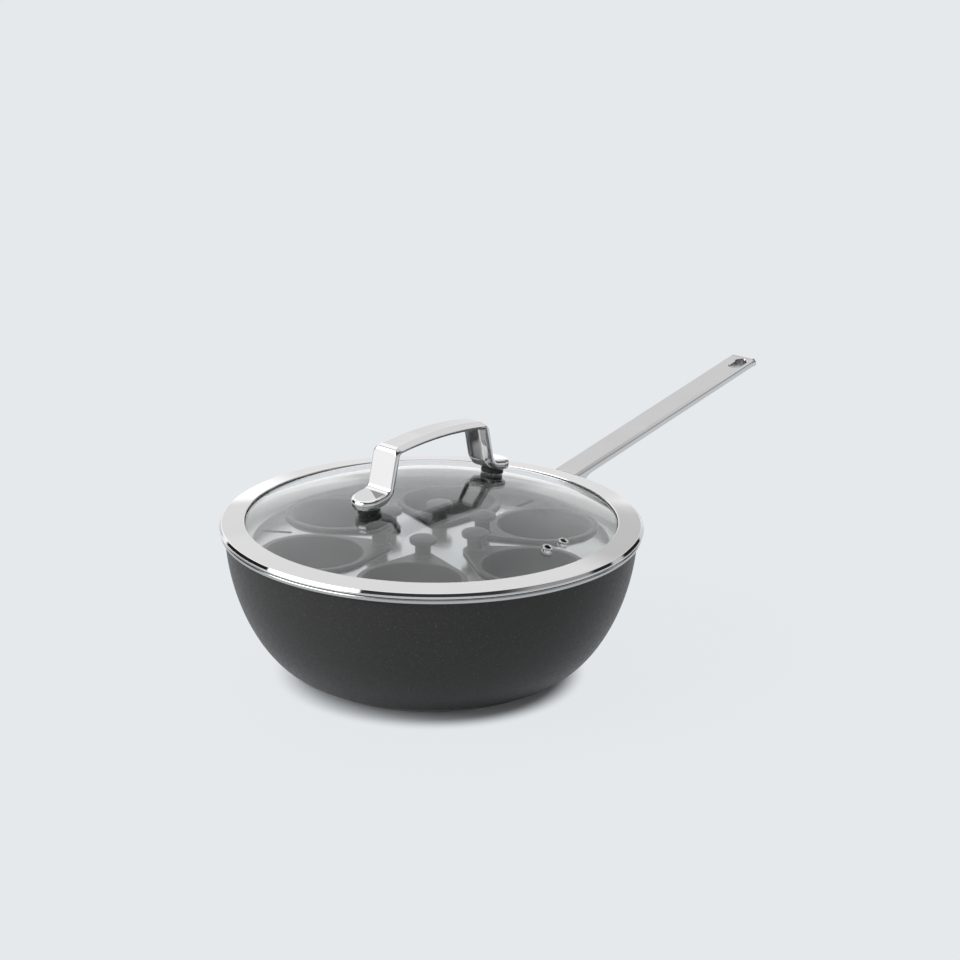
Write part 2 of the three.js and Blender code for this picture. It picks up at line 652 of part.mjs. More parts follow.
function makeScrew() {
  const round = SCREW_HEAD_HEIGHT / 2;
  return turned([
    [0, screwSeat - SCREW_HEAD_HEIGHT],
    [SCREW_HEAD_RADIUS - round, screwSeat - SCREW_HEAD_HEIGHT],
    [SCREW_HEAD_RADIUS, screwSeat - round],
    [SCREW_HEAD_RADIUS, screwSeat],
    [SCREW_RADIUS, screwSeat],
    [SCREW_RADIUS, footBottom + SCREW_GRIP - GAP],
    [0, footBottom + SCREW_GRIP - GAP],
  ], SMALL_SIDES);
}

function makeEyelet() {
  const under = -GLASS_THICKNESS - GAP;
  return turnedRing([
    [VENT_HOLE_RADIUS, under - EYELET_FLANGE_THICKNESS],
    [EYELET_FLANGE_RADIUS, under - EYELET_FLANGE_THICKNESS],
    [EYELET_FLANGE_RADIUS, under],
    [eyeletRadius, under],
    [eyeletRadius, GAP],
    [EYELET_FLANGE_RADIUS, GAP],
    [EYELET_FLANGE_RADIUS, GAP + EYELET_FLANGE_THICKNESS],
    [VENT_HOLE_RADIUS, GAP + EYELET_FLANGE_THICKNESS],
  ], SMALL_SIDES);
}

// Centre line of the lid handle's strap in the XZ plane, from its highest point out to a toe.
function strapCentre() {
  const tilt = Math.asin(FOOT_SPREAD / domeRadius);
  const downFoot = new THREE.Vector2(Math.cos(tilt), -Math.sin(tilt));
  const footRadius = domeRadius + (footBottom + footTop) / 2;
  const screw = new THREE.Vector2(Math.sin(tilt), Math.cos(tilt))
    .multiplyScalar(footRadius)
    .add(new THREE.Vector2(0, domeCentre));
  const ankle = screw.clone().addScaledVector(downFoot, -LEG_INSET - LEG_THICKNESS / 2);
  const barMiddle = sphereHeight(domeRadius, FOOT_SPREAD) + BAR_HEIGHT - BAR_THICKNESS / 2;
  const corner = new THREE.Vector2(ankle.x - LEG_LEAN, barMiddle);
  const upLeg = corner.clone().sub(ankle).normalize();
  const toeCentre = screw.clone().addScaledVector(downFoot, FOOT_REACH - STRAP_WIDTH / 2);
  const bendEnd = ankle.clone().addScaledVector(downFoot, FOOT_BEND);
  const bendStart = ankle.clone().addScaledVector(upLeg, FOOT_BEND);
  const legTop = corner.clone().addScaledVector(upLeg, -BAR_CORNER);
  const shoulder = new THREE.Vector2(corner.x - BAR_CORNER, barMiddle);
  const line = new THREE.Path();
  line.moveTo(0, barMiddle + BAR_ARCH);
  line.quadraticCurveTo(shoulder.x / 2, barMiddle + BAR_ARCH, shoulder.x, shoulder.y);
  line.quadraticCurveTo(corner.x, corner.y, legTop.x, legTop.y);
  line.lineTo(bendStart.x, bendStart.y);
  line.quadraticCurveTo(ankle.x, ankle.y, bendEnd.x, bendEnd.y);
  for (let i = 0; i < ARC_STEPS; i += 1) {
    const turn = ((i + 0.5) / ARC_STEPS) * (Math.PI / 2);
    const station = toeCentre.clone().addScaledVector(downFoot, (STRAP_WIDTH / 2) * Math.sin(turn));
    line.lineTo(station.x, station.y);
  }
  return { points: line.getPoints(ARC_STEPS), toeCentre, downFoot, legTop, bendStart, bendEnd };
}

// Sections of the strap from toe to toe: a flat bar with sloping edges, round in plan at the toes.
function strapSections() {
  const { points, toeCentre, downFoot, legTop, bendStart, bendEnd } = strapCentre();
  const half = STRAP_WIDTH / 2;
  const right = points.slice(1);
  const left = right.map((point) => new THREE.Vector2(-point.x, point.y)).reverse();
  const line = [...left, points[0], ...right];
  return line.map((point, i) => {
    const before = line[Math.max(i - 1, 0)];
    const after = line[Math.min(i + 1, line.length - 1)];
    const along = after.clone().sub(before).normalize();
    const pastToe = new THREE.Vector2(Math.abs(point.x), point.y).sub(toeCentre).dot(downFoot);
    const width = Math.sqrt(half ** 2 - Math.max(0, pastToe) ** 2);
    const inBar = point.y > legTop.y;
    const upper = inBar ? BAR_THICKNESS : LEG_THICKNESS;
    const intoBend = (bendStart.y - point.y) / (bendStart.y - bendEnd.y);
    const intoFoot = THREE.MathUtils.clamp(intoBend, 0, 1);
    const thickness = THREE.MathUtils.lerp(upper, FOOT_THICKNESS, intoFoot);
    const edge = thickness / 2 - (inBar ? BAR_SHOULDER_DROP : STRAP_CHAMFER);
    const lowEdge = THREE.MathUtils.lerp(edge - STRAP_SIDE, -edge, intoFoot);
    const over = width - (inBar ? BAR_SHOULDER : STRAP_CHAMFER);
    const under = width - THREE.MathUtils.lerp(STRAP_BELLY, STRAP_CHAMFER, intoFoot);
    const rim = [
      [width, lowEdge], [width, edge], [over, thickness / 2],
      [-over, thickness / 2], [-width, edge], [-width, lowEdge],
      [-under, -thickness / 2], [under, -thickness / 2],
    ];
    return rim.map(([across, up]) => [point.x - along.y * up, across, point.y + along.x * up]);
  });
}

function makeLidHandle() {
  return geometryOf(footGroups.reduce((handle, group) => {
    const hole = placed(roundBar(SCREW_RADIUS + GAP, 0, footBottom + SCREW_GRIP), group);
    return handle.subtract(solidOf(hole));
  }, solidOf(lofted(strapSections()).rotateZ(LID_HANDLE_TURN))));
}

// Pan
const pan = new THREE.Group();
addPiece(pan, 'pan_bowl', makeBowl(), finishes.nonStick);
addSolid(pan, 'base_disc', makeBaseDisc(), finishes.baseSteel);
addPiece(pan, 'pan_handle', makePanHandle(), finishes.brushedSteel);
rivetGroups.forEach((group, i) => {
  addSolid(group, `handle_rivet_${i + 1}`, makeRivet(), finishes.brushedSteel);
  pan.add(group);
});

// Tray and cups
const insert = new THREE.Group();
addPiece(insert, 'egg_tray', makeTray(), finishes.traySteel);
for (let i = 0; i < CUP_COUNT; i += 1) {
  const group = new THREE.Group();
  group.position.set(cupPitchRadius, 0, cupRimTop).applyAxisAngle(UP, cupAngle(i));
  group.rotation.z = cupAngle(i);
  addPiece(group, `egg_cup_${i + 1}`, makeCup(), finishes.cupMoulding);
  insert.add(group);
}

// Lid
const lid = new THREE.Group();
addPiece(lid, 'lid_glass', makeGlass(), finishes.glass);
addSolid(lid, 'lid_rim', makeBand(), finishes.polishedSteel);
addPiece(lid, 'lid_handle', makeLidHandle(), finishes.polishedSteel);
footGroups.forEach((group, i) => {
  const boltHole = SCREW_RADIUS + GAP;
  const gasket = flatRing(GASKET_RADIUS, boltHole, gasketBottom, gasketBottom + GASKET_THICKNESS);
  const washer = flatRing(WASHER_RADIUS, boltHole, washerTop - WASHER_THICKNESS, washerTop);
  addSolid(group, `lid_handle_gasket_${i + 1}`, gasket, finishes.rubber);
  addSolid(group, `lid_handle_washer_${i + 1}`, washer, finishes.rubber);
  addSolid(group, `lid_handle_screw_${i + 1}`, makeScrew(), finishes.brushedSteel);
  lid.add(group);
});
ventGroups.forEach((group, i) => {
  addSolid(group, `vent_eyelet_${i + 1}`, makeEyelet(), finishes.brushedSteel);
  lid.add(group);
});

const poacher = new THREE.Group();
poacher.add(pan, insert, lid);

export default poacher;
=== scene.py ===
import math

import bmesh
import bpy
from mathutils import Matrix, Vector


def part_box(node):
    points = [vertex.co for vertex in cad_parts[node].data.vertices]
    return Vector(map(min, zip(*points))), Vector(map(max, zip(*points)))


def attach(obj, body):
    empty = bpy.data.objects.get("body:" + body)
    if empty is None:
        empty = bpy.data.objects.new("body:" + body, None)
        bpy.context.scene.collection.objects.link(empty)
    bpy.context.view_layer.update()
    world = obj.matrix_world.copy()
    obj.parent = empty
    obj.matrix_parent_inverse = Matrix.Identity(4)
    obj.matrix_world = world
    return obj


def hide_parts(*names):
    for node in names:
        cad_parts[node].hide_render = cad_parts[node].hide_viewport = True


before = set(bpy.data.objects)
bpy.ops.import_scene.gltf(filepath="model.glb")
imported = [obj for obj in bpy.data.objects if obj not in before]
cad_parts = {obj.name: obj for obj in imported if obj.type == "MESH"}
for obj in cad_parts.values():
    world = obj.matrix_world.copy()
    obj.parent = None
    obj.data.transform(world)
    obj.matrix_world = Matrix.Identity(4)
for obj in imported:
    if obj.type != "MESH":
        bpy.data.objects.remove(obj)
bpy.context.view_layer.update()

scene = bpy.context.scene
MM = 0.001

# Fineness of the meshes
RING_SIDES = 256
SMALL_SIDES = 64
CUP_SIDES = 128
ARC_STEP = math.radians(9)
ARC_LEAST_STEPS = 2
ARC_TOLERANCE = 0.01
ON_AXIS = 1e-7
SHARP_ANGLE = math.radians(32)
SLOT_END_STEPS = 24
EDGE_POINTS = 16

# Sizes read from the frame
bowl_low, bowl_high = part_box("pan_bowl")
disc_low, disc_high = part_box("base_disc")
tray_low, tray_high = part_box("egg_tray")
_, glass_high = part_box("lid_glass")

# Clearances
GAP = 0.3 * MM
TRAY_CLEARANCE = 1.8 * MM
LID_FIT = 1.0 * MM
CUP_HOLE_CLEARANCE = 0.6 * MM
HANDLE_CLEARANCE = 1.6 * MM

# Bowl and base
BOWL_WALL = 3.0 * MM
BOWL_FLOOR = 3.5 * MM
BOWL_CURVE_UP = 1.8
BOWL_CURVE_OUT = 1.6
BOWL_FOOT_MARGIN = 3.0 * MM
WALL_STEPS = 48
LIP_HEIGHT = 2.7 * MM
LIP_OVERHANG = 3.0 * MM
LIP_ROUND = 1.2 * MM
LIP_UNDER_ROUND = 0.8 * MM
DISC_CHAMFER = 0.8 * MM
DISC_CHAMFER_ROUND = 0.4 * MM
DISC_TOP_ROUND = 0.3 * MM

# Egg tray
TRAY_SHEET = 0.8 * MM
TRAY_SLOPE_RUN = 12.0 * MM
TRAY_SLOPE_RISE = 5.0 * MM
TRAY_BEND = 1.6 * MM
TRAY_SLOPE_BEND = 2 * TRAY_BEND
TRAY_EDGE_INSET = 0.25 * MM
TRAY_EDGE_ROUND = 0.3 * MM
TRAY_CUT_BELOW = 5.0 * MM
TRAY_CUT_ABOVE = 2.0 * MM
STEAM_SLOT_COUNT = 3
STEAM_SLOT_LENGTH = 20.0 * MM
STEAM_SLOT_WIDTH = 4.0 * MM
STEAM_SLOT_MARGIN = 3.0 * MM

# Egg cups
CUP_COUNT = 6
CUP_FIRST_ANGLE = math.radians(-27.5)
CUP_OPENING_RADIUS = 30.0 * MM
CUP_FLOOR_RADIUS = 12.0 * MM
CUP_DEPTH = 25.0 * MM
CUP_WALL = 1.5 * MM
CUP_WALL_STEPS = 24
CUP_FLANGE_WIDTH = 4.0 * MM
CUP_FLANGE_THICKNESS = 2.0 * MM
CUP_FLANGE_ROUND = 0.8 * MM
CUP_RIM_ROUND = 0.9 * MM
CUP_SPACING = 9.6 * MM
KNOB_REACH = 43.0 * MM
KNOB_PAD_RADIUS = 7.5 * MM
KNOB_HEIGHT = 13.0 * MM
KNOB_STEM_RADIUS = 4.9 * MM
KNOB_FLARE = 2.2 * MM
KNOB_FLARE_ROUND = KNOB_FLARE * 0.98  # a little less than the flare, so that the arc fits
KNOB_NECK_ROUND = 1.0 * MM
KNOB_CAP_RADIUS = 8.5 * MM
KNOB_CAP_HEIGHT = 5.0 * MM
KNOB_CAP_TAPER = 0.3 * MM
KNOB_CAP_ROUND = 0.9 * MM
KNOB_CROWN = 2.2 * MM

# Lid
LID_OVERHANG = 1.0 * MM
LID_EDGE_HEIGHT = 2.4 * MM
BAND_SHEET = 1.0 * MM
BAND_RISE = 1.8 * MM
BAND_GRIP = 4.4 * MM
BAND_SHOULDER = 0.8 * MM
BAND_LEAN = 1.2 * MM
BAND_LEAN_DROP = 0.1 * MM
BAND_FOLD_ROUND = 0.3 * MM
BAND_SKIRT_BEND = 0.9 * MM
BAND_SKIRT_TOP_BEND = 0.8 * MM
BAND_INNER_ROUND = 0.65 * MM
BAND_LIP_ROUND = 0.25 * MM
BEAD_HEIGHT = 0.6 * MM
BEAD_REACH = 0.5 * MM
BEAD_ROUND = BEAD_HEIGHT * 0.45
BEAD_CREASE = 0.1 * MM
GLASS_THICKNESS = 4.0 * MM
GLASS_EDGE = 1.2 * MM
GLASS_EDGE_ROUND = GLASS_EDGE * 0.9
GLASS_RISE = 25.0 * MM
GLASS_STEPS = 40
VENT_RADIUS = 100.3 * MM
VENT_SPACING = 15.4 * MM
VENT_HOLE_RADIUS = 1.9 * MM
EYELET_WALL = 0.6 * MM
EYELET_FLANGE_RADIUS = 3.4 * MM
EYELET_FLANGE_THICKNESS = 0.7 * MM
EYELET_ROUND = EYELET_FLANGE_THICKNESS * 0.45

# Lid handle
LID_HANDLE_TURN = math.radians(-3.3)
FOOT_SPREAD = 55.0 * MM
FOOT_REACH = 10.0 * MM
FOOT_THICKNESS = 6.8 * MM
FOOT_BEND = 5.6 * MM
TOE_TIP = 0.9996  # share of its radius at which the toe ends, just short of a point
STRAP_WIDTH = 21.2 * MM
STRAP_ROUND = 1.6 * MM
FOOT_ROUND = 2.6 * MM
STRAP_SIDE = 1.6 * MM
STRAP_SIDE_ROUND = 1.5 * MM
STRAP_SIDE_SPLIT = 0.3 * MM  # under the top edge, where the halves of the section meet
STRAP_BELLY = 6.0 * MM
STRAP_BELLY_START = STRAP_BELLY * 1.5
STRAP_BELLY_ROUND = 6.0 * MM
LEG_THICKNESS = 4.6 * MM
LEG_INSET = 9.2 * MM
LEG_LEAN = 6.2 * MM
BAR_THICKNESS = 4.8 * MM
BAR_SHOULDER = 4.6 * MM
BAR_SHOULDER_START = BAR_SHOULDER * 1.4
BAR_SHOULDER_ROUND = 1.6 * MM
BAR_SHOULDER_DROP = 2.2 * MM
BAR_SIDE_ROUND = 0.45 * MM
BAR_HEIGHT = 39.4 * MM
BAR_ARCH = 2.4 * MM
BAR_CORNER = 3.4 * MM
GASKET_RADIUS = 7.2 * MM
GASKET_THICKNESS = 3.2 * MM
GASKET_ROUND = 0.6 * MM
WASHER_RADIUS = 7.6 * MM
WASHER_THICKNESS = 1.5 * MM
WASHER_ROUND = 0.35 * MM
SCREW_RADIUS = 2.4 * MM
SCREW_GRIP = 3.0 * MM
SCREW_TIP_ROUND = 0.4 * MM
SCREW_EDGE_ROUND = 0.2 * MM
SCREW_HEAD_RADIUS = 4.5 * MM
SCREW_HEAD_HEIGHT = 2.6 * MM
SCREW_HEAD_SIDE = SCREW_HEAD_HEIGHT * 0.35
SCREW_HEAD_ROUND = 0.8 * MM
SCREW_FACE_RADIUS = SCREW_HEAD_RADIUS * 0.72
SCREW_FACE_ROUND = 1.2 * MM
SCREW_SOCKET_SIDES = 6
SCREW_SOCKET_RADIUS = 2.0 * MM
SCREW_SOCKET_DEPTH = 1.5 * MM

# Pan handle
HANDLE_LENGTH = 208.4 * MM
HANDLE_RISE = 38.85 * MM
HANDLE_ROOT_HEIGHT = 3.0 * MM
HANDLE_WIDTH = 20.2 * MM
HANDLE_THICKNESS = 7.3 * MM
HANDLE_CHAMFER = 1.95 * MM
HANDLE_RIDGE_ROUND = 0.4 * MM
HANDLE_SIDE_ROUND = 1.4 * MM
HANDLE_CORNER = 4.0 * MM
HANDLE_NOSE_LENGTH = 9.0 * MM
HANDLE_NOSE_DROP = 5.0 * MM
HANDLE_BELLY_POWER = 0.6
GUSSET_DEPTH = 19.0 * MM
GUSSET_RUN = 17.0 * MM
SADDLE_THICKNESS = 3.5 * MM
SADDLE_WIDTH = 42.0 * MM
SADDLE_HEIGHT = 32.0 * MM
SADDLE_CORNER = 9.0 * MM
SADDLE_DROP = 2.0 * MM
HANG_HOLE_LENGTH = 15.0 * MM
HANG_HOLE_WIDTH = 9.0 * MM
HANG_HOLE_MARGIN = 9.5 * MM
HANG_HOLE_OFFSET = 4.0 * MM
HANG_HOLE_EDGE = 0.6 * MM
HANG_HOLE_OVERSHOOT = 3  # times the broken edge
RIVET_COUNT = 2
RIVET_SPACING = 27.0 * MM
RIVET_RADIUS = 2.5 * MM
RIVET_HEAD_RADIUS = 5.0 * MM
RIVET_HEAD_HEIGHT = 1.8 * MM
RIVET_EDGE_ROUND = 0.25 * MM
RIVET_SIDE_ROUND = 0.5 * MM
RIVET_CROWN = 1.1 * MM
RIVET_CROWN_RADIUS = RIVET_HEAD_RADIUS * 0.45
RIVET_CROWN_ROUND = 2.0 * MM

# How far a face's normal leans up or sideways, for the choice of its material
FACES_UP = 0.9
NOSE_FACES_UP = 0.3
FACES_ASIDE = 0.3

# Radii and heights that follow
bowl_top = bowl_high.z
bowl_underside = bowl_low.z
lip_radius = bowl_high.x
bowl_radius = lip_radius - LIP_OVERHANG
foot_radius = disc_high.x + BOWL_FOOT_MARGIN
lip_underside = bowl_top - LIP_HEIGHT
bowl_floor_top = bowl_underside + BOWL_FLOOR
tray_wall_radius = bowl_radius - BOWL_WALL - TRAY_CLEARANCE - TRAY_SHEET
tray_floor_radius = tray_wall_radius - TRAY_SLOPE_RUN
tray_flange_top = tray_high.z
tray_floor_top = tray_low.z + TRAY_SHEET
cup_flange_radius = CUP_OPENING_RADIUS + CUP_FLANGE_WIDTH
cup_pitch_radius = (2 * cup_flange_radius + CUP_SPACING) / (2 * math.sin(math.pi / CUP_COUNT))
cup_rim_top = tray_floor_top + GAP + CUP_FLANGE_THICKNESS
lid_radius = lip_radius + LID_OVERHANG
lid_seat = tray_flange_top + GAP
skirt_radius = tray_wall_radius - LID_FIT
glass_radius = skirt_radius - BAND_SHEET - GAP
band_inner_radius = glass_radius - BAND_GRIP
band_outer_top = lid_seat + LID_EDGE_HEIGHT
band_inner_top = band_outer_top + BAND_RISE
dome_radius = (glass_radius ** 2 + GLASS_RISE ** 2) / (2 * GLASS_RISE)
dome_centre = glass_high.z - dome_radius
gasket_bottom = GAP
foot_bottom = gasket_bottom + GASKET_THICKNESS + GAP
washer_top = -GLASS_THICKNESS - 2 * GAP
screw_seat = washer_top - WASHER_THICKNESS - GAP
strap_half = STRAP_WIDTH / 2
handle_root = lid_radius + HANDLE_CLEARANCE
handle_end = handle_root + HANDLE_LENGTH
handle_root_top = bowl_top + HANDLE_ROOT_HEIGHT
hang_hole_centre = handle_end - HANG_HOLE_MARGIN - HANG_HOLE_LENGTH / 2
saddle_top = lip_underside - SADDLE_DROP
rivet_height = saddle_top - SADDLE_HEIGHT / 2


# Mesh helpers

def filleted(corners, closed=False):
    """A polyline through corners given as (a, b) or (a, b, radius), with an arc at each radius."""
    points = []
    for i, corner in enumerate(corners):
        here = Vector(corner[:2])
        is_end = not closed and i in (0, len(corners) - 1)
        if len(corner) < 3 or is_end:
            points.append(here)
            continue
        radius = corner[2]
        before = (Vector(corners[i - 1][:2]) - here).normalized()
        after = (Vector(corners[(i + 1) % len(corners)][:2]) - here).normalized()
        half = before.angle(after) / 2
        reach = radius / math.tan(half)
        centre = here + (before + after).normalized() * (radius / math.sin(half))
        first = here + before * reach - centre
        last = here + after * reach - centre
        turn = math.atan2(first.cross(last), first.dot(last))
        steps = max(ARC_LEAST_STEPS, math.ceil(abs(turn) / ARC_STEP - ARC_TOLERANCE))
        start = math.atan2(first.y, first.x)
        for step in range(steps + 1):
            angle = start + turn * step / steps
            points.append(centre + radius * Vector((math.cos(angle), math.sin(angle))))
    return points


def soft_box(left, right, low, high, radius):
    """A closed rectangle with rounded corners."""
    corners = ((left, low), (right, low), (right, high), (left, high))
    return filleted([(*corner, radius) for corner in corners], closed=True)


def quarter(steps):
    """Angles of a quarter turn, from 0 up to a right angle."""
    return [math.pi / 2 * i / steps for i in range(steps + 1)]


def mesh_of_rings(name, rings, closed=False):
    """Joins rings of points into a skin. A ring of one point is a pole, and open ends are capped."""
    mesh = bpy.data.meshes.new(name)
    starts = []
    points = []
    for ring in rings:
        starts.append(len(points))
        points.extend(ring)
    faces = []
    count = max(len(ring) for ring in rings)
    for a in range(len(rings) if closed else len(rings) - 1):
        b = (a + 1) % len(rings)
        for i in range(count):
            j = (i + 1) % count
            if len(rings[a]) == 1:
                faces.append((starts[a], starts[b] + j, starts[b] + i))
            elif len(rings[b]) == 1:
                faces.append((starts[a] + i, starts[a] + j, starts[b]))
            else:
                faces.append((starts[a] + i, starts[a] + j, starts[b] + j, starts[b] + i))
    if not closed:
        for start, ring in ((starts[0], rings[0]), (starts[-1], rings[-1])):
            if len(ring) > 1:
                faces.append(tuple(range(start, start + len(ring))))
    mesh.from_pydata(points, [], faces)
    shell = bmesh.new()
    shell.from_mesh(mesh)
    bmesh.ops.recalc_face_normals(shell, faces=shell.faces)
    shell.to_mesh(mesh)
    shell.free()
    return mesh


def circle(radius, height, sides):
    angles = [2 * math.pi * i / sides for i in range(sides)]
    return [Vector((radius * math.cos(a), radius * math.sin(a), height)) for a in angles]


def turned(name, profile, sides, closed=False):
    """Turns (radius, height) points about Z. A closed profile is a loop clear of the axis."""
    rings = []
    for radius, height in profile:
        pole = [Vector((0, 0, height))]
        rings.append(pole if radius < ON_AXIS else circle(radius, height, sides))
    return mesh_of_rings(name, rings, closed)


def prism(name, outline, bottom, top):
    """A straight prism on a plan outline."""
    return mesh_of_rings(name, [[Vector((p[0], p[1], z)) for p in outline] for z in (bottom, top)])


def stadium(length, width, grow=0.0):
    """Plan outline of a slot with round ends along X, grown all round."""
    half = (length - width) / 2
    radius = width / 2 + grow
    points = []
    for side in (1, -1):
        for i in range(SLOT_END_STEPS + 1):
            angle = math.pi * (i / SLOT_END_STEPS - 0.5)
            x = side * (half + radius * math.cos(angle))
            points.append(Vector((x, side * radius * math.sin(angle))))
    return points


def in_scene(name, data):
    """A new object in the scene."""
    item = bpy.data.objects.new(name, data)
    scene.collection.objects.link(item)
    return item


def combined(mesh, tool, operation):
    """Joins, cuts or intersects two closed meshes."""
    base = in_scene("base", mesh)
    other = in_scene("tool", tool)
    modifier = base.modifiers.new("combine", "BOOLEAN")
    modifier.operation = operation
    modifier.object = other
    modifier.solver = "EXACT"
    bpy.context.view_layer.update()
    evaluated = base.evaluated_get(bpy.context.evaluated_depsgraph_get())
    result = bpy.data.meshes.new_from_object(evaluated)
    for item in (base, other):
        bpy.data.objects.remove(item)
    return result


def moved(mesh, matrix):
    mesh.transform(matrix)
    return mesh


def drilled(mesh, radius, bottom, top, places):
    """Cuts a round hole along the Z axis of each place, between two heights."""
    outline = circle(radius, 0, SMALL_SIDES)
    for place in places:
        tool = moved(prism("hole", outline, bottom, top), place)
        mesh = combined(mesh, tool, "DIFFERENCE")
    return mesh


def dressed(node, mesh, body, slot, materials, choose=None):
    """Makes a mesh into a finished piece that rides on a body and stands for a CAD node."""
    mesh.materials.clear()
    for material in materials:
        mesh.materials.append(material)
    mesh.shade_smooth()
    mesh.set_sharp_from_angle(angle=SHARP_ANGLE)
    for face in mesh.polygons:
        face.material_index = choose(face) if choose else 0
    piece = in_scene(node + "_skin", mesh)
    modifier = piece.modifiers.new("even_normals", "WEIGHTED_NORMAL")
    modifier.keep_sharp = True
    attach(piece, body)
    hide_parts(node)


# Materials: noise scales, ranges of noise that are used, and looks

NOISE_DETAIL = 3.0
FINE_DETAIL = 4.0
SPECK_DETAIL = 1.0
GRAIN_RANGE = (0.25, 0.75)
SOFT_RANGE = (0.3, 0.7)
RELIEF_DEPTH = 0.1 * MM
STEEL_GRAIN = 900.0
STEEL_CLOUD = 40.0
STEEL_SPREAD = (0.95, 1.05)
MIRROR_SPREAD = (0.98, 1.02)
LATHE = {"scale": 1500.0, "cloud": 30.0, "spread": (0.94, 1.05), "turned_on_lathe": True}
COAT_DARK = (0.031, 0.0304, 0.0299, 1)
COAT_PALE = (0.037, 0.0363, 0.0357, 1)
COAT_CLOUD = 25.0
COAT_PEBBLE = 420.0
COAT_RELIEF = 0.12
COAT_ROUGHNESS = (0.34, 0.46)
COAT_SHINE = 0.17
SPECK_SCALE = 1100.0
SPECK_RANGE = (0.62, 0.74)
SPECK_AMOUNT = (0.0, 0.5)
SPECK_COLOUR = (0.1, 0.1, 0.1, 1)
MOULDING_CLOUD = 60.0
MOULDING_RELIEF = 0.002
GLASS_SMEAR = 18.0
GLASS_DARK = (0.975, 0.977, 0.972, 1)
GLASS_PALE = (0.992, 0.992, 0.988, 1)
GLASS_ROUGHNESS = (0.0, 0.012)
GLASS_IOR = 1.5
GLASS_SHADOW = (0.97, 0.97, 0.965, 1)
ALONG_X = (0.02, 1.0, 0.02)


class Graph:
    """A node tree with short calls to add and link nodes."""

    def __init__(self, tree):
        self.tree = tree
        tree.nodes.clear()

    def add(self, kind, inputs=None, **settings):
        node = self.tree.nodes.new(kind)
        for name, value in settings.items():
            setattr(node, name, value)
        for key, value in (inputs or {}).items():
            if isinstance(value, bpy.types.NodeSocket):
                self.tree.links.new(value, node.inputs[key])
            else:
                node.inputs[key].default_value = value
        return node

    def math(self, operation, *values):
        return self.add("ShaderNodeMath", dict(enumerate(values)), operation=operation).outputs[0]

    def ranged(self, value, source, target, smooth=False):
        kind = "SMOOTHSTEP" if smooth else "LINEAR"
        inputs = {0: value, 1: source[0], 2: source[1], 3: target[0], 4: target[1]}
        return self.add("ShaderNodeMapRange", inputs, interpolation_type=kind).outputs[0]

    def noise(self, scale, stretch=(1, 1, 1), detail=NOISE_DETAIL, coordinates=None):
        if coordinates is None:
            coordinates = self.add("ShaderNodeTexCoord").outputs["Object"]
        mapping = self.add("ShaderNodeMapping", {"Vector": coordinates, "Scale": stretch})
        inputs = {"Vector": mapping.outputs[0], "Scale": scale, "Detail": detail}
        return self.add("ShaderNodeTexNoise", inputs).outputs[0]

    def blend(self, factor, first, second):
        node = self.add("ShaderNodeMix", {0: factor, 6: first, 7: second}, data_type="RGBA")
        return node.outputs[2]

    def mix(self, factor, first, second):
        inputs = {0: factor, 1: first.outputs[0], 2: second.outputs[0]}
        return self.add("ShaderNodeMixShader", inputs).outputs[0]

    def rings(self):
        """Coordinates that stay the same round the Z axis: distance from it, and height."""
        place = self.add("ShaderNodeTexCoord").outputs["Object"]
        x, y, z = self.add("ShaderNodeSeparateXYZ", {0: place}).outputs
        squares = [self.math("MULTIPLY", axis, axis) for axis in (x, y)]
        radius = self.math("SQRT", self.math("ADD", *squares))
        return self.add("ShaderNodeCombineXYZ", {0: radius, 2: z}).outputs[0]

    def relief(self, strength, height):
        inputs = {"Strength": strength, "Distance": RELIEF_DEPTH, "Height": height}
        return self.add("ShaderNodeBump", inputs).outputs[0]


def new_material(name):
    material = bpy.data.materials.new(name)
    material.use_nodes = True
    return material, Graph(material.node_tree)


def grey(level):
    return (level, level, level, 1)


def finish_with(graph, inputs):
    shader = graph.add("ShaderNodeBsdfPrincipled", inputs)
    graph.add("ShaderNodeOutputMaterial", {"Surface": shader.outputs[0]})


def steel(
    name, level, roughness, stretch=(1, 1, 1), scale=STEEL_GRAIN, bump=0.0,
    cloud=STEEL_CLOUD, spread=STEEL_SPREAD, turned_on_lathe=False,
):
    """Bare metal with a grain of noise: even, stretched along the brushing, or in rings from a lathe."""
    material, graph = new_material(name)
    grain = graph.noise(scale, stretch, coordinates=graph.rings() if turned_on_lathe else None)
    dark, pale = [grey(level * share) for share in spread]
    inputs = {
        "Base Color": graph.blend(graph.noise(cloud), dark, pale),
        "Metallic": 1.0,
        "Roughness": graph.ranged(grain, GRAIN_RANGE, roughness),
    }
    if bump:
        inputs["Normal"] = graph.relief(bump, grain)
    finish_with(graph, inputs)
    return material


def speckled_coat():
    """Dark grey non-stick coat with fine pale specks and a faint pebble."""
    material, graph = new_material("speckled_coat")
    specks = graph.noise(SPECK_SCALE, detail=SPECK_DETAIL)
    pebble = graph.noise(COAT_PEBBLE, detail=FINE_DETAIL)
    base = graph.blend(graph.noise(COAT_CLOUD), COAT_DARK, COAT_PALE)
    amount = graph.ranged(specks, SPECK_RANGE, SPECK_AMOUNT)
    finish_with(graph, {
        "Base Color": graph.blend(amount, base, SPECK_COLOUR),
        "Roughness": graph.ranged(pebble, SOFT_RANGE, COAT_ROUGHNESS),
        "Specular IOR Level": COAT_SHINE,
        "Normal": graph.relief(COAT_RELIEF, pebble),
    })
    return material


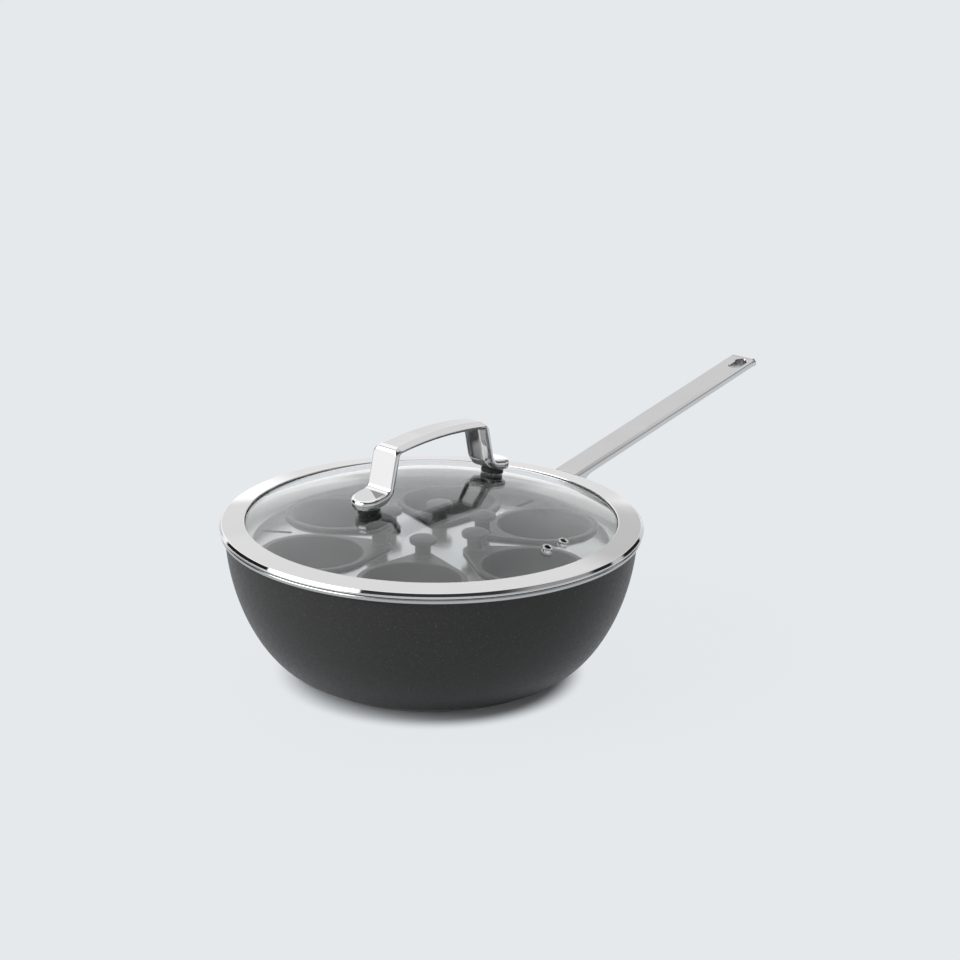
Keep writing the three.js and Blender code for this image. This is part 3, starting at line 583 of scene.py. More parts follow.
def moulding(name, dark, pale, roughness, scale):
    """Moulded plastic or rubber with a fine even grain."""
    material, graph = new_material(name)
    grain = graph.noise(scale, detail=FINE_DETAIL)
    finish_with(graph, {
        "Base Color": graph.blend(graph.noise(MOULDING_CLOUD), dark, pale),
        "Roughness": graph.ranged(grain, SOFT_RANGE, roughness),
        "Normal": graph.relief(MOULDING_RELIEF, grain),
    })
    return material


def clear_glass():
    """Clear glass that lets light through to what is under it."""
    material, graph = new_material("clear_glass")
    smear = graph.noise(GLASS_SMEAR)
    glass = graph.add("ShaderNodeBsdfPrincipled", {
        "Base Color": graph.blend(smear, GLASS_DARK, GLASS_PALE),
        "Roughness": graph.ranged(smear, SOFT_RANGE, GLASS_ROUGHNESS),
        "IOR": GLASS_IOR,
        "Transmission Weight": 1.0,
    })
    clear = graph.add("ShaderNodeBsdfTransparent", {"Color": GLASS_SHADOW})
    path = graph.add("ShaderNodeLightPath").outputs
    mixed = graph.mix(path["Is Shadow Ray"], glass, clear)
    graph.add("ShaderNodeOutputMaterial", {"Surface": mixed})
    return material


coat = speckled_coat()
lip_metal = steel("lip_metal", level=0.5, roughness=(0.12, 0.2), bump=0.006, **LATHE)
base_metal = steel("base_metal", level=0.42, roughness=(0.3, 0.45), bump=0.05, **LATHE)
brushed = steel("brushed_steel", level=0.52, roughness=(0.12, 0.22), stretch=ALONG_X)
handle_polish = steel("handle_polish", level=0.62, roughness=(0.05, 0.1), stretch=ALONG_X, scale=600.0)
satin = steel("satin_steel", level=0.56, roughness=(0.2, 0.32), scale=1200.0, bump=0.01)
# The eyelets' steel is darker than the other steels: its low level is painted shade for the dark bore of
# the vents; its low roughness is the eyelets' real polish.
eyelet_steel_painted_shade = steel("eyelet_steel_painted_shade", level=0.42, roughness=(0.1, 0.16), scale=700.0)
tray_metal = steel("tray_steel", level=0.68, roughness=(0.14, 0.24), scale=500.0, bump=0.003)
mirror = steel("mirror_steel", level=0.64, roughness=(0.015, 0.04), scale=300.0, spread=MIRROR_SPREAD)
cup_plastic = moulding(
    "cup_moulding", dark=grey(0.03), pale=grey(0.038), roughness=(0.33, 0.4), scale=250.0,
)
rubber = moulding(
    "gasket_rubber", dark=(0.01, 0.01, 0.011, 1), pale=(0.016, 0.016, 0.017, 1),
    roughness=(0.5, 0.65), scale=900.0,
)
glass_material = clear_glass()


# Bowl and base

def bowl_radius_at(foot, top, foot_height, height):
    drop = max(0.0, (lip_underside - height) / (lip_underside - foot_height))
    return foot + (top - foot) * (1 - drop ** BOWL_CURVE_UP) ** (1 / BOWL_CURVE_OUT)


def bowl_wall(foot, top, foot_height):
    """Points up the bowl's curve from its foot to the underside of the lip."""
    points = []
    for turn in quarter(WALL_STEPS):
        drop = abs(math.cos(turn)) ** (2 / BOWL_CURVE_UP)
        height = lip_underside - drop * (lip_underside - foot_height)
        points.append((bowl_radius_at(foot, top, foot_height, height), height))
    return points


def outer_wall(margin=0.0):
    return bowl_wall(foot_radius + margin, bowl_radius + margin, bowl_underside)


def inner_wall():
    return bowl_wall(foot_radius - BOWL_WALL / 2, bowl_radius - BOWL_WALL, bowl_floor_top)


def rivet_frames():
    """Frames for the rivets on the bowl's wall, with Z square to it, and the wall's thickness there."""
    def at(height):
        return bowl_radius_at(foot_radius, bowl_radius, bowl_underside, height)
    outside = at(rivet_height)
    tilt = math.atan((at(rivet_height + MM) - outside) / MM)
    frames = []
    for number in range(RIVET_COUNT):
        sideways = (number - (RIVET_COUNT - 1) / 2) * RIVET_SPACING
        turn = Matrix.Rotation(math.asin(sideways / outside), 4, "Z")
        lean = Matrix.Rotation(math.pi / 2 + tilt, 4, "Y")
        frames.append(turn @ Matrix.Translation((outside, 0, rivet_height)) @ lean)
    foot = foot_radius - BOWL_WALL / 2
    inside = bowl_radius_at(foot, bowl_radius - BOWL_WALL, bowl_floor_top, rivet_height)
    return frames, (outside - inside) * math.cos(tilt)


rivet_places, wall_thickness = rivet_frames()
rivet_outer_seat = GAP + SADDLE_THICKNESS + GAP
rivet_inner_seat = -wall_thickness - GAP


def with_rivet_holes(mesh):
    reach = (rivet_inner_seat - BOWL_WALL, rivet_outer_seat + BOWL_WALL)
    return drilled(mesh, RIVET_RADIUS + GAP, *reach, rivet_places)


def make_bowl():
    lip = filleted([
        (bowl_radius, lip_underside),
        (lip_radius, lip_underside, LIP_UNDER_ROUND),
        (lip_radius, bowl_top, LIP_ROUND),
        (bowl_radius - BOWL_WALL, bowl_top, LIP_ROUND),
        (bowl_radius - BOWL_WALL, lip_underside),
    ])
    profile = [(0, bowl_underside), *outer_wall(), *lip[1:-1], *inner_wall()[::-1], (0, bowl_floor_top)]
    mesh = with_rivet_holes(turned("pan_bowl_skin", profile, RING_SIDES))

    def choose(face):
        near_edge = face.center.xy.length > bowl_radius - BOWL_WALL - GAP
        return 1 if near_edge and face.center.z > lip_underside - GAP else 0
    dressed("pan_bowl", mesh, "pan", "bowl_coating", [coat, lip_metal], choose)


def make_base():
    profile = filleted([
        (0, disc_low.z),
        (disc_high.x - DISC_CHAMFER, disc_low.z, DISC_CHAMFER_ROUND),
        (disc_high.x, disc_low.z + DISC_CHAMFER, DISC_CHAMFER_ROUND),
        (disc_high.x, disc_high.z, DISC_TOP_ROUND),
        (0, disc_high.z),
    ])
    mesh = turned("base_disc_skin", profile, RING_SIDES)
    dressed("base_disc", mesh, "pan", "base_steel", [base_metal])


# Pan handle

def handle_top(x):
    """Height of the handle's top, and how far its nose drops there."""
    into_nose = max(0.0, 1 - (handle_end - x) / HANDLE_NOSE_LENGTH)
    drop = HANDLE_NOSE_DROP * (1 - math.sqrt(1 - into_nose ** 2))
    return handle_root_top + HANDLE_RISE * (x - handle_root) / HANDLE_LENGTH - drop, drop


def handle_section(x):
    top, drop = handle_top(x)
    near_root = min(1.0, max(0.0, 1 - (x - handle_root) / GUSSET_RUN))
    from_corner = max(0.0, x - (handle_end - HANDLE_CORNER))
    half = HANDLE_WIDTH / 2 - HANDLE_CORNER + math.sqrt(HANDLE_CORNER ** 2 - from_corner ** 2)
    depth = HANDLE_THICKNESS + GUSSET_DEPTH * near_root ** 2 - drop - HANDLE_CHAMFER
    side = min(HANDLE_SIDE_ROUND, depth / 2)
    rim = [
        (-half, top - 2 * HANDLE_CHAMFER),
        (-half, top - HANDLE_CHAMFER, side),
        (HANDLE_CHAMFER - half, top, HANDLE_RIDGE_ROUND),
        (half - HANDLE_CHAMFER, top, HANDLE_RIDGE_ROUND),
        (half, top - HANDLE_CHAMFER, side),
        (half, top - 2 * HANDLE_CHAMFER),
    ]
    points = filleted(rim)[1:-1]
    belly_steps = 28
    for i in range(1, belly_steps):
        turn = math.pi * i / belly_steps
        across = math.copysign(abs(math.cos(turn)) ** HANDLE_BELLY_POWER, math.cos(turn))
        down = math.sin(turn) ** HANDLE_BELLY_POWER
        points.append(Vector((half * across, top - HANDLE_CHAMFER - side - (depth - side) * down)))
    return [Vector((x, p.x, p.y)) for p in points]


def handle_stations():
    start = bowl_radius - BOWL_WALL
    gusset_steps = 24
    nose_steps = 20
    gusset = [handle_root + GUSSET_RUN * i / gusset_steps for i in range(gusset_steps)]
    shaft = [handle_root + GUSSET_RUN, (handle_root + handle_end) / 2]
    nose = [handle_end - HANDLE_NOSE_LENGTH * (1 - math.sin(turn)) for turn in quarter(nose_steps)[:-1]]
    return [start, *gusset, *shaft, *nose]


def hang_hole():
    """A slot with a broken edge above and below, cut square to the ground along the sloping top."""
    slope = HANDLE_RISE / HANDLE_LENGTH
    middle, _ = handle_top(hang_hole_centre)
    edge = HANG_HOLE_EDGE
    overshoot = HANG_HOLE_OVERSHOOT * edge
    widest = (HANG_HOLE_OVERSHOOT + 1) * edge
    levels = (
        (overshoot, widest),
        (0, edge),
        (-edge, 0),
        (edge - HANDLE_THICKNESS, 0),
        (-HANDLE_THICKNESS, edge),
        (-HANDLE_THICKNESS - overshoot, widest),
    )
    rings = []
    for height, grow in levels:
        rings.append([
            Vector((hang_hole_centre + p.x, p.y - HANG_HOLE_OFFSET, middle + height + slope * p.x))
            for p in stadium(HANG_HOLE_LENGTH, HANG_HOLE_WIDTH, grow)
        ])
    return mesh_of_rings("hole", rings)


def make_pan_handle():
    ring = [*outer_wall(GAP + SADDLE_THICKNESS), *outer_wall(GAP)[::-1]]
    saddle = turned("saddle", ring, RING_SIDES, closed=True)
    half_width = SADDLE_WIDTH / 2
    low = rivet_height - SADDLE_HEIGHT / 2
    window = soft_box(-half_width, half_width, low, saddle_top, SADDLE_CORNER)
    ends = [[Vector((x, p.x, p.y)) for p in window] for x in (0, lid_radius)]
    saddle = combined(saddle, mesh_of_rings("block", ends), "INTERSECT")
    arm = mesh_of_rings("arm", [handle_section(x) for x in handle_stations()])
    grown = GAP + SADDLE_THICKNESS / 2
    bowl = turned("bowl", [(0, bowl_underside), *outer_wall(grown), (0, lip_underside)], RING_SIDES)
    arm = combined(arm, bowl, "DIFFERENCE")
    above = bowl_top * 2
    passage = [(0, saddle_top), (handle_root, saddle_top), (handle_root, above), (0, above)]
    arm = combined(arm, turned("passage", passage, RING_SIDES), "DIFFERENCE")
    mesh = combined(combined(arm, saddle, "UNION"), hang_hole(), "DIFFERENCE")
    mesh = with_rivet_holes(mesh)

    def choose(face):
        past_shaft = face.center.x > handle_end - HANDLE_NOSE_LENGTH
        on_nose = past_shaft and abs(face.normal.y) < FACES_ASIDE
        on_top = face.normal.z > (NOSE_FACES_UP if on_nose else FACES_UP) and face.center.x > handle_root
        in_hole = (
            abs(face.center.x - hang_hole_centre) < HANG_HOLE_LENGTH / 2
            and abs(face.center.y + HANG_HOLE_OFFSET) < HANG_HOLE_WIDTH / 2
            and abs(face.normal.z) < FACES_ASIDE
        )
        return 0 if on_top or in_hole else 1
    metals = [brushed, handle_polish]
    dressed("pan_handle", mesh, "pan", "handle_steel", metals, choose)


def make_rivets():
    head = [
        (RIVET_HEAD_RADIUS, 0.0, RIVET_EDGE_ROUND),
        (RIVET_HEAD_RADIUS, RIVET_HEAD_HEIGHT - RIVET_CROWN, RIVET_SIDE_ROUND),
    ]
    outer = [(r, rivet_outer_seat + h, e) for r, h, e in head]
    inner = [(r, rivet_inner_seat - h, e) for r, h, e in head[::-1]]
    profile = filleted([
        (0, rivet_inner_seat - RIVET_HEAD_HEIGHT),
        (RIVET_CROWN_RADIUS, rivet_inner_seat - RIVET_HEAD_HEIGHT, RIVET_CROWN_ROUND),
        *inner,
        (RIVET_RADIUS, rivet_inner_seat),
        (RIVET_RADIUS, rivet_outer_seat),
        *outer,
        (RIVET_CROWN_RADIUS, rivet_outer_seat + RIVET_HEAD_HEIGHT, RIVET_CROWN_ROUND),
        (0, rivet_outer_seat + RIVET_HEAD_HEIGHT),
    ])
    for number, place in enumerate(rivet_places, 1):
        name = f"handle_rivet_{number}"
        mesh = moved(turned(name + "_skin", profile, SMALL_SIDES), place)
        dressed(name, mesh, "pan", "fastener_steel", [satin])


# Tray and cups

def cup_angle(number):
    return CUP_FIRST_ANGLE + number * 2 * math.pi / CUP_COUNT


def make_tray():
    slope_top = tray_floor_top + TRAY_SLOPE_RISE
    outside = TRAY_BEND + TRAY_SHEET
    upper = [
        (lip_radius - TRAY_EDGE_INSET, tray_flange_top, TRAY_EDGE_ROUND),
        (tray_wall_radius, tray_flange_top, outside),
        (tray_wall_radius, slope_top, TRAY_BEND),
        (tray_floor_radius, tray_floor_top, TRAY_SLOPE_BEND),
        (0, tray_floor_top),
    ]
    profile = filleted([
        (0, tray_floor_top - TRAY_SHEET),
        (tray_floor_radius + TRAY_SHEET / 2, tray_floor_top - TRAY_SHEET, TRAY_SLOPE_BEND),
        (tray_wall_radius + TRAY_SHEET, slope_top - TRAY_SHEET / 2, outside),
        (tray_wall_radius + TRAY_SHEET, tray_flange_top - TRAY_SHEET, TRAY_BEND),
        (lip_radius - TRAY_EDGE_INSET, tray_flange_top - TRAY_SHEET, TRAY_EDGE_ROUND),
        *upper,
    ])
    mesh = turned("egg_tray_skin", profile, RING_SIDES)
    reach = (tray_floor_top - TRAY_CUT_BELOW, tray_floor_top + TRAY_CUT_ABOVE)
    hole_radius = CUP_OPENING_RADIUS + CUP_WALL + CUP_HOLE_CLEARANCE
    hole = [(cup_pitch_radius + p.x, p.y) for p in circle(hole_radius, 0, CUP_SIDES)]
    cuts = [(hole, cup_angle(number)) for number in range(CUP_COUNT)]
    centre = tray_floor_radius - STEAM_SLOT_MARGIN - STEAM_SLOT_LENGTH / 2
    slot = [(centre + p.x, p.y) for p in stadium(STEAM_SLOT_LENGTH, STEAM_SLOT_WIDTH)]
    every = CUP_COUNT / STEAM_SLOT_COUNT
    cuts += [(slot, cup_angle(0.5 + number * every)) for number in range(STEAM_SLOT_COUNT)]
    for outline, angle in cuts:
        tool = moved(prism("cut", outline, *reach), Matrix.Rotation(angle, 4, "Z"))
        mesh = combined(mesh, tool, "DIFFERENCE")
    dressed("egg_tray", mesh, "tray", "tray_steel", [tray_metal])


def cup_bowl(opening, depth, top):
    """Half profile of a cup, from the middle of its floor out and up to its opening."""
    points = [(0, -depth)]
    for turn in quarter(CUP_WALL_STEPS):
        radius = CUP_FLOOR_RADIUS + (opening - CUP_FLOOR_RADIUS) * math.sin(turn)
        points.append((radius, top - (depth + top) * math.cos(turn)))
    return points


def teardrop(inset):
    """Plan outline of the flange, drawn in by an inset, with its tip towards -X."""
    lean = math.acos((cup_flange_radius - KNOB_PAD_RADIUS) / KNOB_REACH)
    points = []
    wide_steps, tip_steps = 90, 24
    for i in range(wide_steps + 1):
        angle = (math.pi - lean) * (2 * i / wide_steps - 1)
        points.append(Vector((math.cos(angle), math.sin(angle))) * (cup_flange_radius - inset))
    for i in range(tip_steps + 1):
        angle = math.pi + lean * (2 * i / tip_steps - 1)
        tip = Vector((math.cos(angle), math.sin(angle))) * (KNOB_PAD_RADIUS - inset)
        points.append(tip - Vector((KNOB_REACH, 0)))
    return points


def flange_mesh():
    round_steps = 6
    rings = []
    for side in (-1, 1):
        for turn in quarter(round_steps)[::-side]:
            inset = CUP_FLANGE_ROUND * (1 - math.sin(turn))
            middle = CUP_FLANGE_THICKNESS / 2 - CUP_FLANGE_ROUND
            height = side * (middle + CUP_FLANGE_ROUND * math.cos(turn)) - CUP_FLANGE_THICKNESS / 2
            rings.append([Vector((p.x, p.y, height)) for p in teardrop(inset)])
    return mesh_of_rings("flange", rings)


def knob_mesh():
    cap_underside = KNOB_HEIGHT - KNOB_CAP_HEIGHT
    crown_base = KNOB_HEIGHT - KNOB_CROWN
    stem = filleted([
        (KNOB_STEM_RADIUS + KNOB_FLARE, -CUP_FLANGE_THICKNESS / 2),
        (KNOB_STEM_RADIUS + KNOB_FLARE, 0.0),
        (KNOB_STEM_RADIUS, 0.0, KNOB_FLARE_ROUND),
        (KNOB_STEM_RADIUS, cap_underside, KNOB_NECK_ROUND),
        (KNOB_CAP_RADIUS - KNOB_CAP_TAPER, cap_underside + KNOB_CAP_TAPER, KNOB_CAP_ROUND),
        (KNOB_CAP_RADIUS, crown_base),
    ])
    crown_steps = 14
    crown = [
        (KNOB_CAP_RADIUS * math.cos(turn), crown_base + KNOB_CROWN * math.sin(turn))
        for turn in quarter(crown_steps)[1:]
    ]
    profile = [(0, -CUP_FLANGE_THICKNESS / 2), *[tuple(p) for p in stem], *crown]
    return moved(turned("knob", profile, SMALL_SIDES), Matrix.Translation((-KNOB_REACH, 0, 0)))


def cup_mesh():
    shell_top = -CUP_FLANGE_THICKNESS / 2
    shell = cup_bowl(CUP_OPENING_RADIUS + CUP_WALL, CUP_DEPTH + CUP_WALL, shell_top)
    shell.append((0, shell_top))
    body = combined(turned("shell", shell, CUP_SIDES), flange_mesh(), "UNION")
    hollow = cup_bowl(CUP_OPENING_RADIUS, CUP_DEPTH, -CUP_RIM_ROUND)
    rim_steps = 8
    for turn in quarter(rim_steps)[1:]:
        radius = CUP_OPENING_RADIUS + CUP_RIM_ROUND * (1 - math.cos(turn))
        hollow.append((radius, -CUP_RIM_ROUND * (1 - math.sin(turn))))
    widest = CUP_OPENING_RADIUS + CUP_RIM_ROUND
    hollow += [(widest, CUP_FLANGE_THICKNESS), (0, CUP_FLANGE_THICKNESS)]
    body = combined(body, turned("hollow", hollow, CUP_SIDES), "DIFFERENCE")
    return combined(body, knob_mesh(), "UNION")


def make_cups():
    pattern = cup_mesh()
    for number in range(CUP_COUNT):
        turn = Matrix.Rotation(cup_angle(number), 4, "Z")
        place = turn @ Matrix.Translation((cup_pitch_radius, 0, cup_rim_top))
        name = f"egg_cup_{number + 1}"
        mesh = moved(pattern.copy(), place)
        dressed(name, mesh, f"cup_{number + 1}", "cup_moulding", [cup_plastic])


# Lid

def dome_height(radius, distance):
    return dome_centre + math.sqrt(radius ** 2 - distance ** 2)


def on_glass(x, y):
    """A frame on the dome's outside at a plan point, with Z square to it."""
    point = Vector((x, y, dome_height(dome_radius, math.hypot(x, y))))
    outwards = point - Vector((0, 0, dome_centre))
    return Matrix.Translation(point) @ outwards.to_track_quat("Z", "Y").to_matrix().to_4x4()


foot_places = [
    on_glass(spread * math.cos(LID_HANDLE_TURN), spread * math.sin(LID_HANDLE_TURN))
    for spread in (-FOOT_SPREAD, FOOT_SPREAD)
]
vent_places = [
    on_glass(across, -math.sqrt(VENT_RADIUS ** 2 - across ** 2))
    for across in (-VENT_SPACING / 2, VENT_SPACING / 2)
]
eyelet_radius = VENT_HOLE_RADIUS + EYELET_WALL


def make_glass():
    underside_radius = dome_radius - GLASS_THICKNESS

    def arc(radius):
        reach = glass_radius - GLASS_EDGE
        steps = [reach * i / GLASS_STEPS for i in range(GLASS_STEPS + 1)]
        return [(distance, dome_height(radius, distance)) for distance in steps]
    under = arc(underside_radius)
    over = arc(dome_radius)
    rim = filleted([
        under[-1],
        (glass_radius, dome_height(underside_radius, glass_radius), GLASS_EDGE_ROUND),
        (glass_radius, dome_height(dome_radius, glass_radius), GLASS_EDGE_ROUND),
        over[-1],
    ])
    mesh = turned("lid_glass_skin", [*under[:-1], *rim, *over[:-1][::-1]], RING_SIDES)
    reach = (-2 * GLASS_THICKNESS, GLASS_THICKNESS)
    mesh = drilled(mesh, SCREW_RADIUS + 2 * GAP, *reach, foot_places)
    mesh = drilled(mesh, eyelet_radius + GAP, *reach, vent_places)
    dressed("lid_glass", mesh, "lid", "lid_glass", [glass_material])


def make_band():
    """The band's sheet: flat sloping top, round shoulder, rolled edge, skirt and ledge under the glass."""
    slope_run = lid_radius - LID_EDGE_HEIGHT / 2 - band_inner_radius
    fall = (band_inner_top - band_outer_top) / slope_run

    def skin_top(radius):
        return band_inner_top - fall * (radius - band_inner_radius)

    def skin_under(radius):
        return skin_top(radius) - BAND_SHEET
    ledge_top = dome_height(dome_radius - GLASS_THICKNESS, glass_radius) - GAP
    ledge_bottom = ledge_top - BAND_SHEET
    channel = glass_radius + GAP
    shoulder = lid_radius - BEAD_REACH
    bead_top = lid_seat + BEAD_HEIGHT
    loop = filleted([
        (band_inner_radius, ledge_bottom, BAND_FOLD_ROUND),
        (skirt_radius, ledge_bottom, BAND_SKIRT_BEND),
        (skirt_radius, skin_under(skirt_radius), BAND_SKIRT_TOP_BEND),
        (shoulder - BAND_SHEET - BAND_LEAN, skin_under(shoulder) - BAND_LEAN_DROP, BAND_FOLD_ROUND),
        (shoulder - BAND_SHEET, lid_seat, BAND_FOLD_ROUND),
        (lid_radius, lid_seat, BEAD_ROUND),
        (lid_radius, bead_top, BEAD_ROUND),
        (shoulder, bead_top, BEAD_CREASE),
        (shoulder - BAND_LEAN, skin_top(shoulder - BAND_LEAN), BAND_SHOULDER),
        (band_inner_radius, band_inner_top, BAND_INNER_ROUND),
        (band_inner_radius, skin_under(band_inner_radius), BAND_LIP_ROUND),
        (channel, skin_under(channel), BAND_FOLD_ROUND),
        (channel, ledge_top, BAND_FOLD_ROUND),
        (band_inner_radius, ledge_top, BAND_LIP_ROUND),
    ], closed=True)
    mesh = turned("lid_rim_skin", loop, RING_SIDES, closed=True)
    dressed("lid_rim", mesh, "lid", "polished_steel", [mirror])


# Lid handle

def quadratic(start, bend, end, steps):
    """Points of a curve round a bend, without its start."""
    points = []
    for i in range(1, steps + 1):
        t = i / steps
        points.append((1 - t) ** 2 * start + 2 * t * (1 - t) * bend + t ** 2 * end)
    return points


def strap_line():
    """Half of the strap's centre line in the XZ plane, from the middle of the bar out to a toe.

    Each entry is (point, share of bar section, share of foot section, distance past the toe's centre).
    """
    tilt = math.asin(FOOT_SPREAD / dome_radius)
    down_foot = Vector((math.cos(tilt), -math.sin(tilt)))
    foot_radius_out = dome_radius + foot_bottom + FOOT_THICKNESS / 2
    screw = Vector((math.sin(tilt), math.cos(tilt))) * foot_radius_out + Vector((0, dome_centre))
    ankle = screw - down_foot * (LEG_INSET + LEG_THICKNESS / 2)
    bar_middle = dome_height(dome_radius, FOOT_SPREAD) + BAR_HEIGHT - BAR_THICKNESS / 2
    corner = Vector((ankle.x - LEG_LEAN, bar_middle))
    up_leg = (corner - ankle).normalized()
    toe_centre = screw + down_foot * (FOOT_REACH - strap_half)
    shoulder = Vector((corner.x - BAR_CORNER, bar_middle))
    leg_top = corner - up_leg * BAR_CORNER
    bend_top = ankle + up_leg * FOOT_BEND
    bend_end = ankle + down_foot * FOOT_BEND
    crest = Vector((0, bar_middle + BAR_ARCH))
    arch_steps, corner_steps, leg_steps, toe_steps = 28, 14, 4, 26
    line = [(crest, 1.0, 0.0, 0.0)]
    arch = quadratic(crest, Vector((shoulder.x / 2, crest.y)), shoulder, arch_steps)
    line += [(p, 1.0, 0.0, 0.0) for p in arch]
    curve = quadratic(shoulder, corner, leg_top, corner_steps)
    line += [(p, 1 - (i + 1) / corner_steps, 0.0, 0.0) for i, p in enumerate(curve)]
    line += [(leg_top.lerp(bend_top, (i + 1) / leg_steps), 0.0, 0.0, 0.0) for i in range(leg_steps)]
    curve = quadratic(bend_top, ankle, bend_end, corner_steps)
    line += [(p, 0.0, (i + 1) / corner_steps, 0.0) for i, p in enumerate(curve)]
    for turn in quarter(toe_steps):
        past = strap_half * math.sin(turn) * TOE_TIP
        line.append((toe_centre + down_foot * past, 0.0, 1.0, past))
    return line


def face_edge(corners):
    """Points at even steps along half of a face of the strap, from near its middle to its upright side."""
    points = filleted(corners)
    lengths = [0.0]
    for a, b in zip(points, points[1:]):
        lengths.append(lengths[-1] + (b - a).length)
    spread = []
    segment = 0
    for i in range(EDGE_POINTS):
        target = lengths[-1] * i / (EDGE_POINTS - 1)
        while segment < len(points) - 2 and lengths[segment + 1] < target:
            segment += 1
        share = (target - lengths[segment]) / (lengths[segment + 1] - lengths[segment])
        spread.append(points[segment].lerp(points[segment + 1], share))
    return spread


def strap_section(bar_share, foot_share, past):
    """Half section of the strap as (across, up) points, from the top edge round to the bottom edge."""
    leg = LEG_THICKNESS + (FOOT_THICKNESS - LEG_THICKNESS) * foot_share
    top = (leg + (BAR_THICKNESS - leg) * bar_share) / 2
    bend = STRAP_ROUND + (FOOT_ROUND - STRAP_ROUND) * foot_share
    inner = strap_half - bend
    first = math.asin(max(0.0, min(1.0, (past - inner) / bend)))
    round_edge = []
    for i in range(EDGE_POINTS):
        turn = first + (math.pi / 2 - first) * i / (EDGE_POINTS - 1)
        reach = inner + bend * math.sin(turn)
        across = math.sqrt(max(0.0, reach ** 2 - past ** 2))
        round_edge.append(Vector((across, top - bend * (1 - math.cos(turn)))))
    bar_edge = top - BAR_SHOULDER_DROP
    shoulder = face_edge([
        (strap_half - BAR_SHOULDER_START, top),
        (strap_half - BAR_SHOULDER, top, BAR_SHOULDER_ROUND),
        (strap_half, bar_edge, BAR_SIDE_ROUND),
        (strap_half, bar_edge - STRAP_SIDE_SPLIT),
    ])
    top_edge = top - (STRAP_ROUND + (BAR_SHOULDER_DROP - STRAP_ROUND) * bar_share)
    belly = face_edge([
        (strap_half - STRAP_BELLY_START, -top),
        (strap_half - STRAP_BELLY, -top, STRAP_BELLY_ROUND),
        (strap_half, top_edge - STRAP_SIDE, STRAP_SIDE_ROUND),
        (strap_half, top_edge - STRAP_SIDE_SPLIT),
    ])
    upper = [a.lerp(b, bar_share) for a, b in zip(round_edge, shoulder)]
    lower = [a.lerp(Vector((b.x, -b.y)), foot_share) for a, b in zip(belly, round_edge)]
    return upper + lower[::-1]


def make_lid_handle():
    half = strap_line()
    line = [(Vector((-p.x, p.y)), *rest) for p, *rest in half[:0:-1]] + half
    rings = []
    for i, (point, bar_share, foot_share, past) in enumerate(line):
        before = line[max(i - 1, 0)][0]
        after = line[min(i + 1, len(line) - 1)][0]
        along = (after - before).normalized()
        right = strap_section(bar_share, foot_share, past)
        around = right + [Vector((-p.x, p.y)) for p in right[::-1]]
        rings.append([Vector((point.x - along.y * p.y, p.x, point.y + along.x * p.y)) for p in around])
    mesh = moved(mesh_of_rings("lid_handle_skin", rings), Matrix.Rotation(LID_HANDLE_TURN, 4, "Z"))
    mesh = drilled(mesh, SCREW_RADIUS + GAP, 0, foot_bottom + SCREW_GRIP, foot_places)
    dressed("lid_handle", mesh, "lid", "polished_steel", [mirror])


def soft_ring(name, outer, bottom, thickness, edge):
    """A flat rubber ring round a screw, with rounded edges."""
    loop = soft_box(SCREW_RADIUS + GAP, outer, bottom, bottom + thickness, edge)
    return turned(name, loop, SMALL_SIDES, closed=True)


def screw_mesh(name):
    bottom = screw_seat - SCREW_HEAD_HEIGHT
    tip = foot_bottom + SCREW_GRIP - GAP
    profile = filleted([
        (0, bottom),
        (SCREW_FACE_RADIUS, bottom, SCREW_FACE_ROUND),
        (SCREW_HEAD_RADIUS, screw_seat - SCREW_HEAD_SIDE, SCREW_HEAD_ROUND),
        (SCREW_HEAD_RADIUS, screw_seat, SCREW_EDGE_ROUND),
        (SCREW_RADIUS, screw_seat, SCREW_EDGE_ROUND),
        (SCREW_RADIUS, tip, SCREW_TIP_ROUND),
        (0, tip),
    ])
    socket = circle(SCREW_SOCKET_RADIUS, 0, SCREW_SOCKET_SIDES)
    tool = prism("socket", socket, bottom - MM, bottom + SCREW_SOCKET_DEPTH)
    return combined(turned(name, profile, SMALL_SIDES), tool, "DIFFERENCE")


def make_lid_fasteners():
    washer_bottom = washer_top - WASHER_THICKNESS
    for number, place in enumerate(foot_places, 1):
        gasket = soft_ring("gasket", GASKET_RADIUS, gasket_bottom, GASKET_THICKNESS, GASKET_ROUND)
        washer = soft_ring("washer", WASHER_RADIUS, washer_bottom, WASHER_THICKNESS, WASHER_ROUND)
        for kind, mesh, slot, material in (
            ("gasket", gasket, "gasket_rubber", rubber),
            ("washer", washer, "gasket_rubber", rubber),
            ("screw", screw_mesh("screw"), "fastener_steel", satin),
        ):
            node = f"lid_handle_{kind}_{number}"
            dressed(node, moved(mesh, place), "lid", slot, [material])


def make_eyelets():
    under = -GLASS_THICKNESS - GAP
    bottom = under - EYELET_FLANGE_THICKNESS
    top = GAP + EYELET_FLANGE_THICKNESS
    loop = filleted([
        (VENT_HOLE_RADIUS, bottom, EYELET_ROUND),
        (EYELET_FLANGE_RADIUS, bottom, EYELET_ROUND),
        (EYELET_FLANGE_RADIUS, under, EYELET_ROUND),
        (eyelet_radius, under),
        (eyelet_radius, GAP),
        (EYELET_FLANGE_RADIUS, GAP, EYELET_ROUND),
        (EYELET_FLANGE_RADIUS, top, EYELET_ROUND),
        (VENT_HOLE_RADIUS, top, EYELET_ROUND),
    ], closed=True)
    for number, place in enumerate(vent_places, 1):
        node = f"vent_eyelet_{number}"
        mesh = moved(turned(node + "_skin", loop, SMALL_SIDES, closed=True), place)
        # The eyelets wear the darkened steel, whose low level is painted shade for the bore.
        dressed(node, mesh, "lid", "fastener_steel", [eyelet_steel_painted_shade])


# Stage: floor, camera and studio light

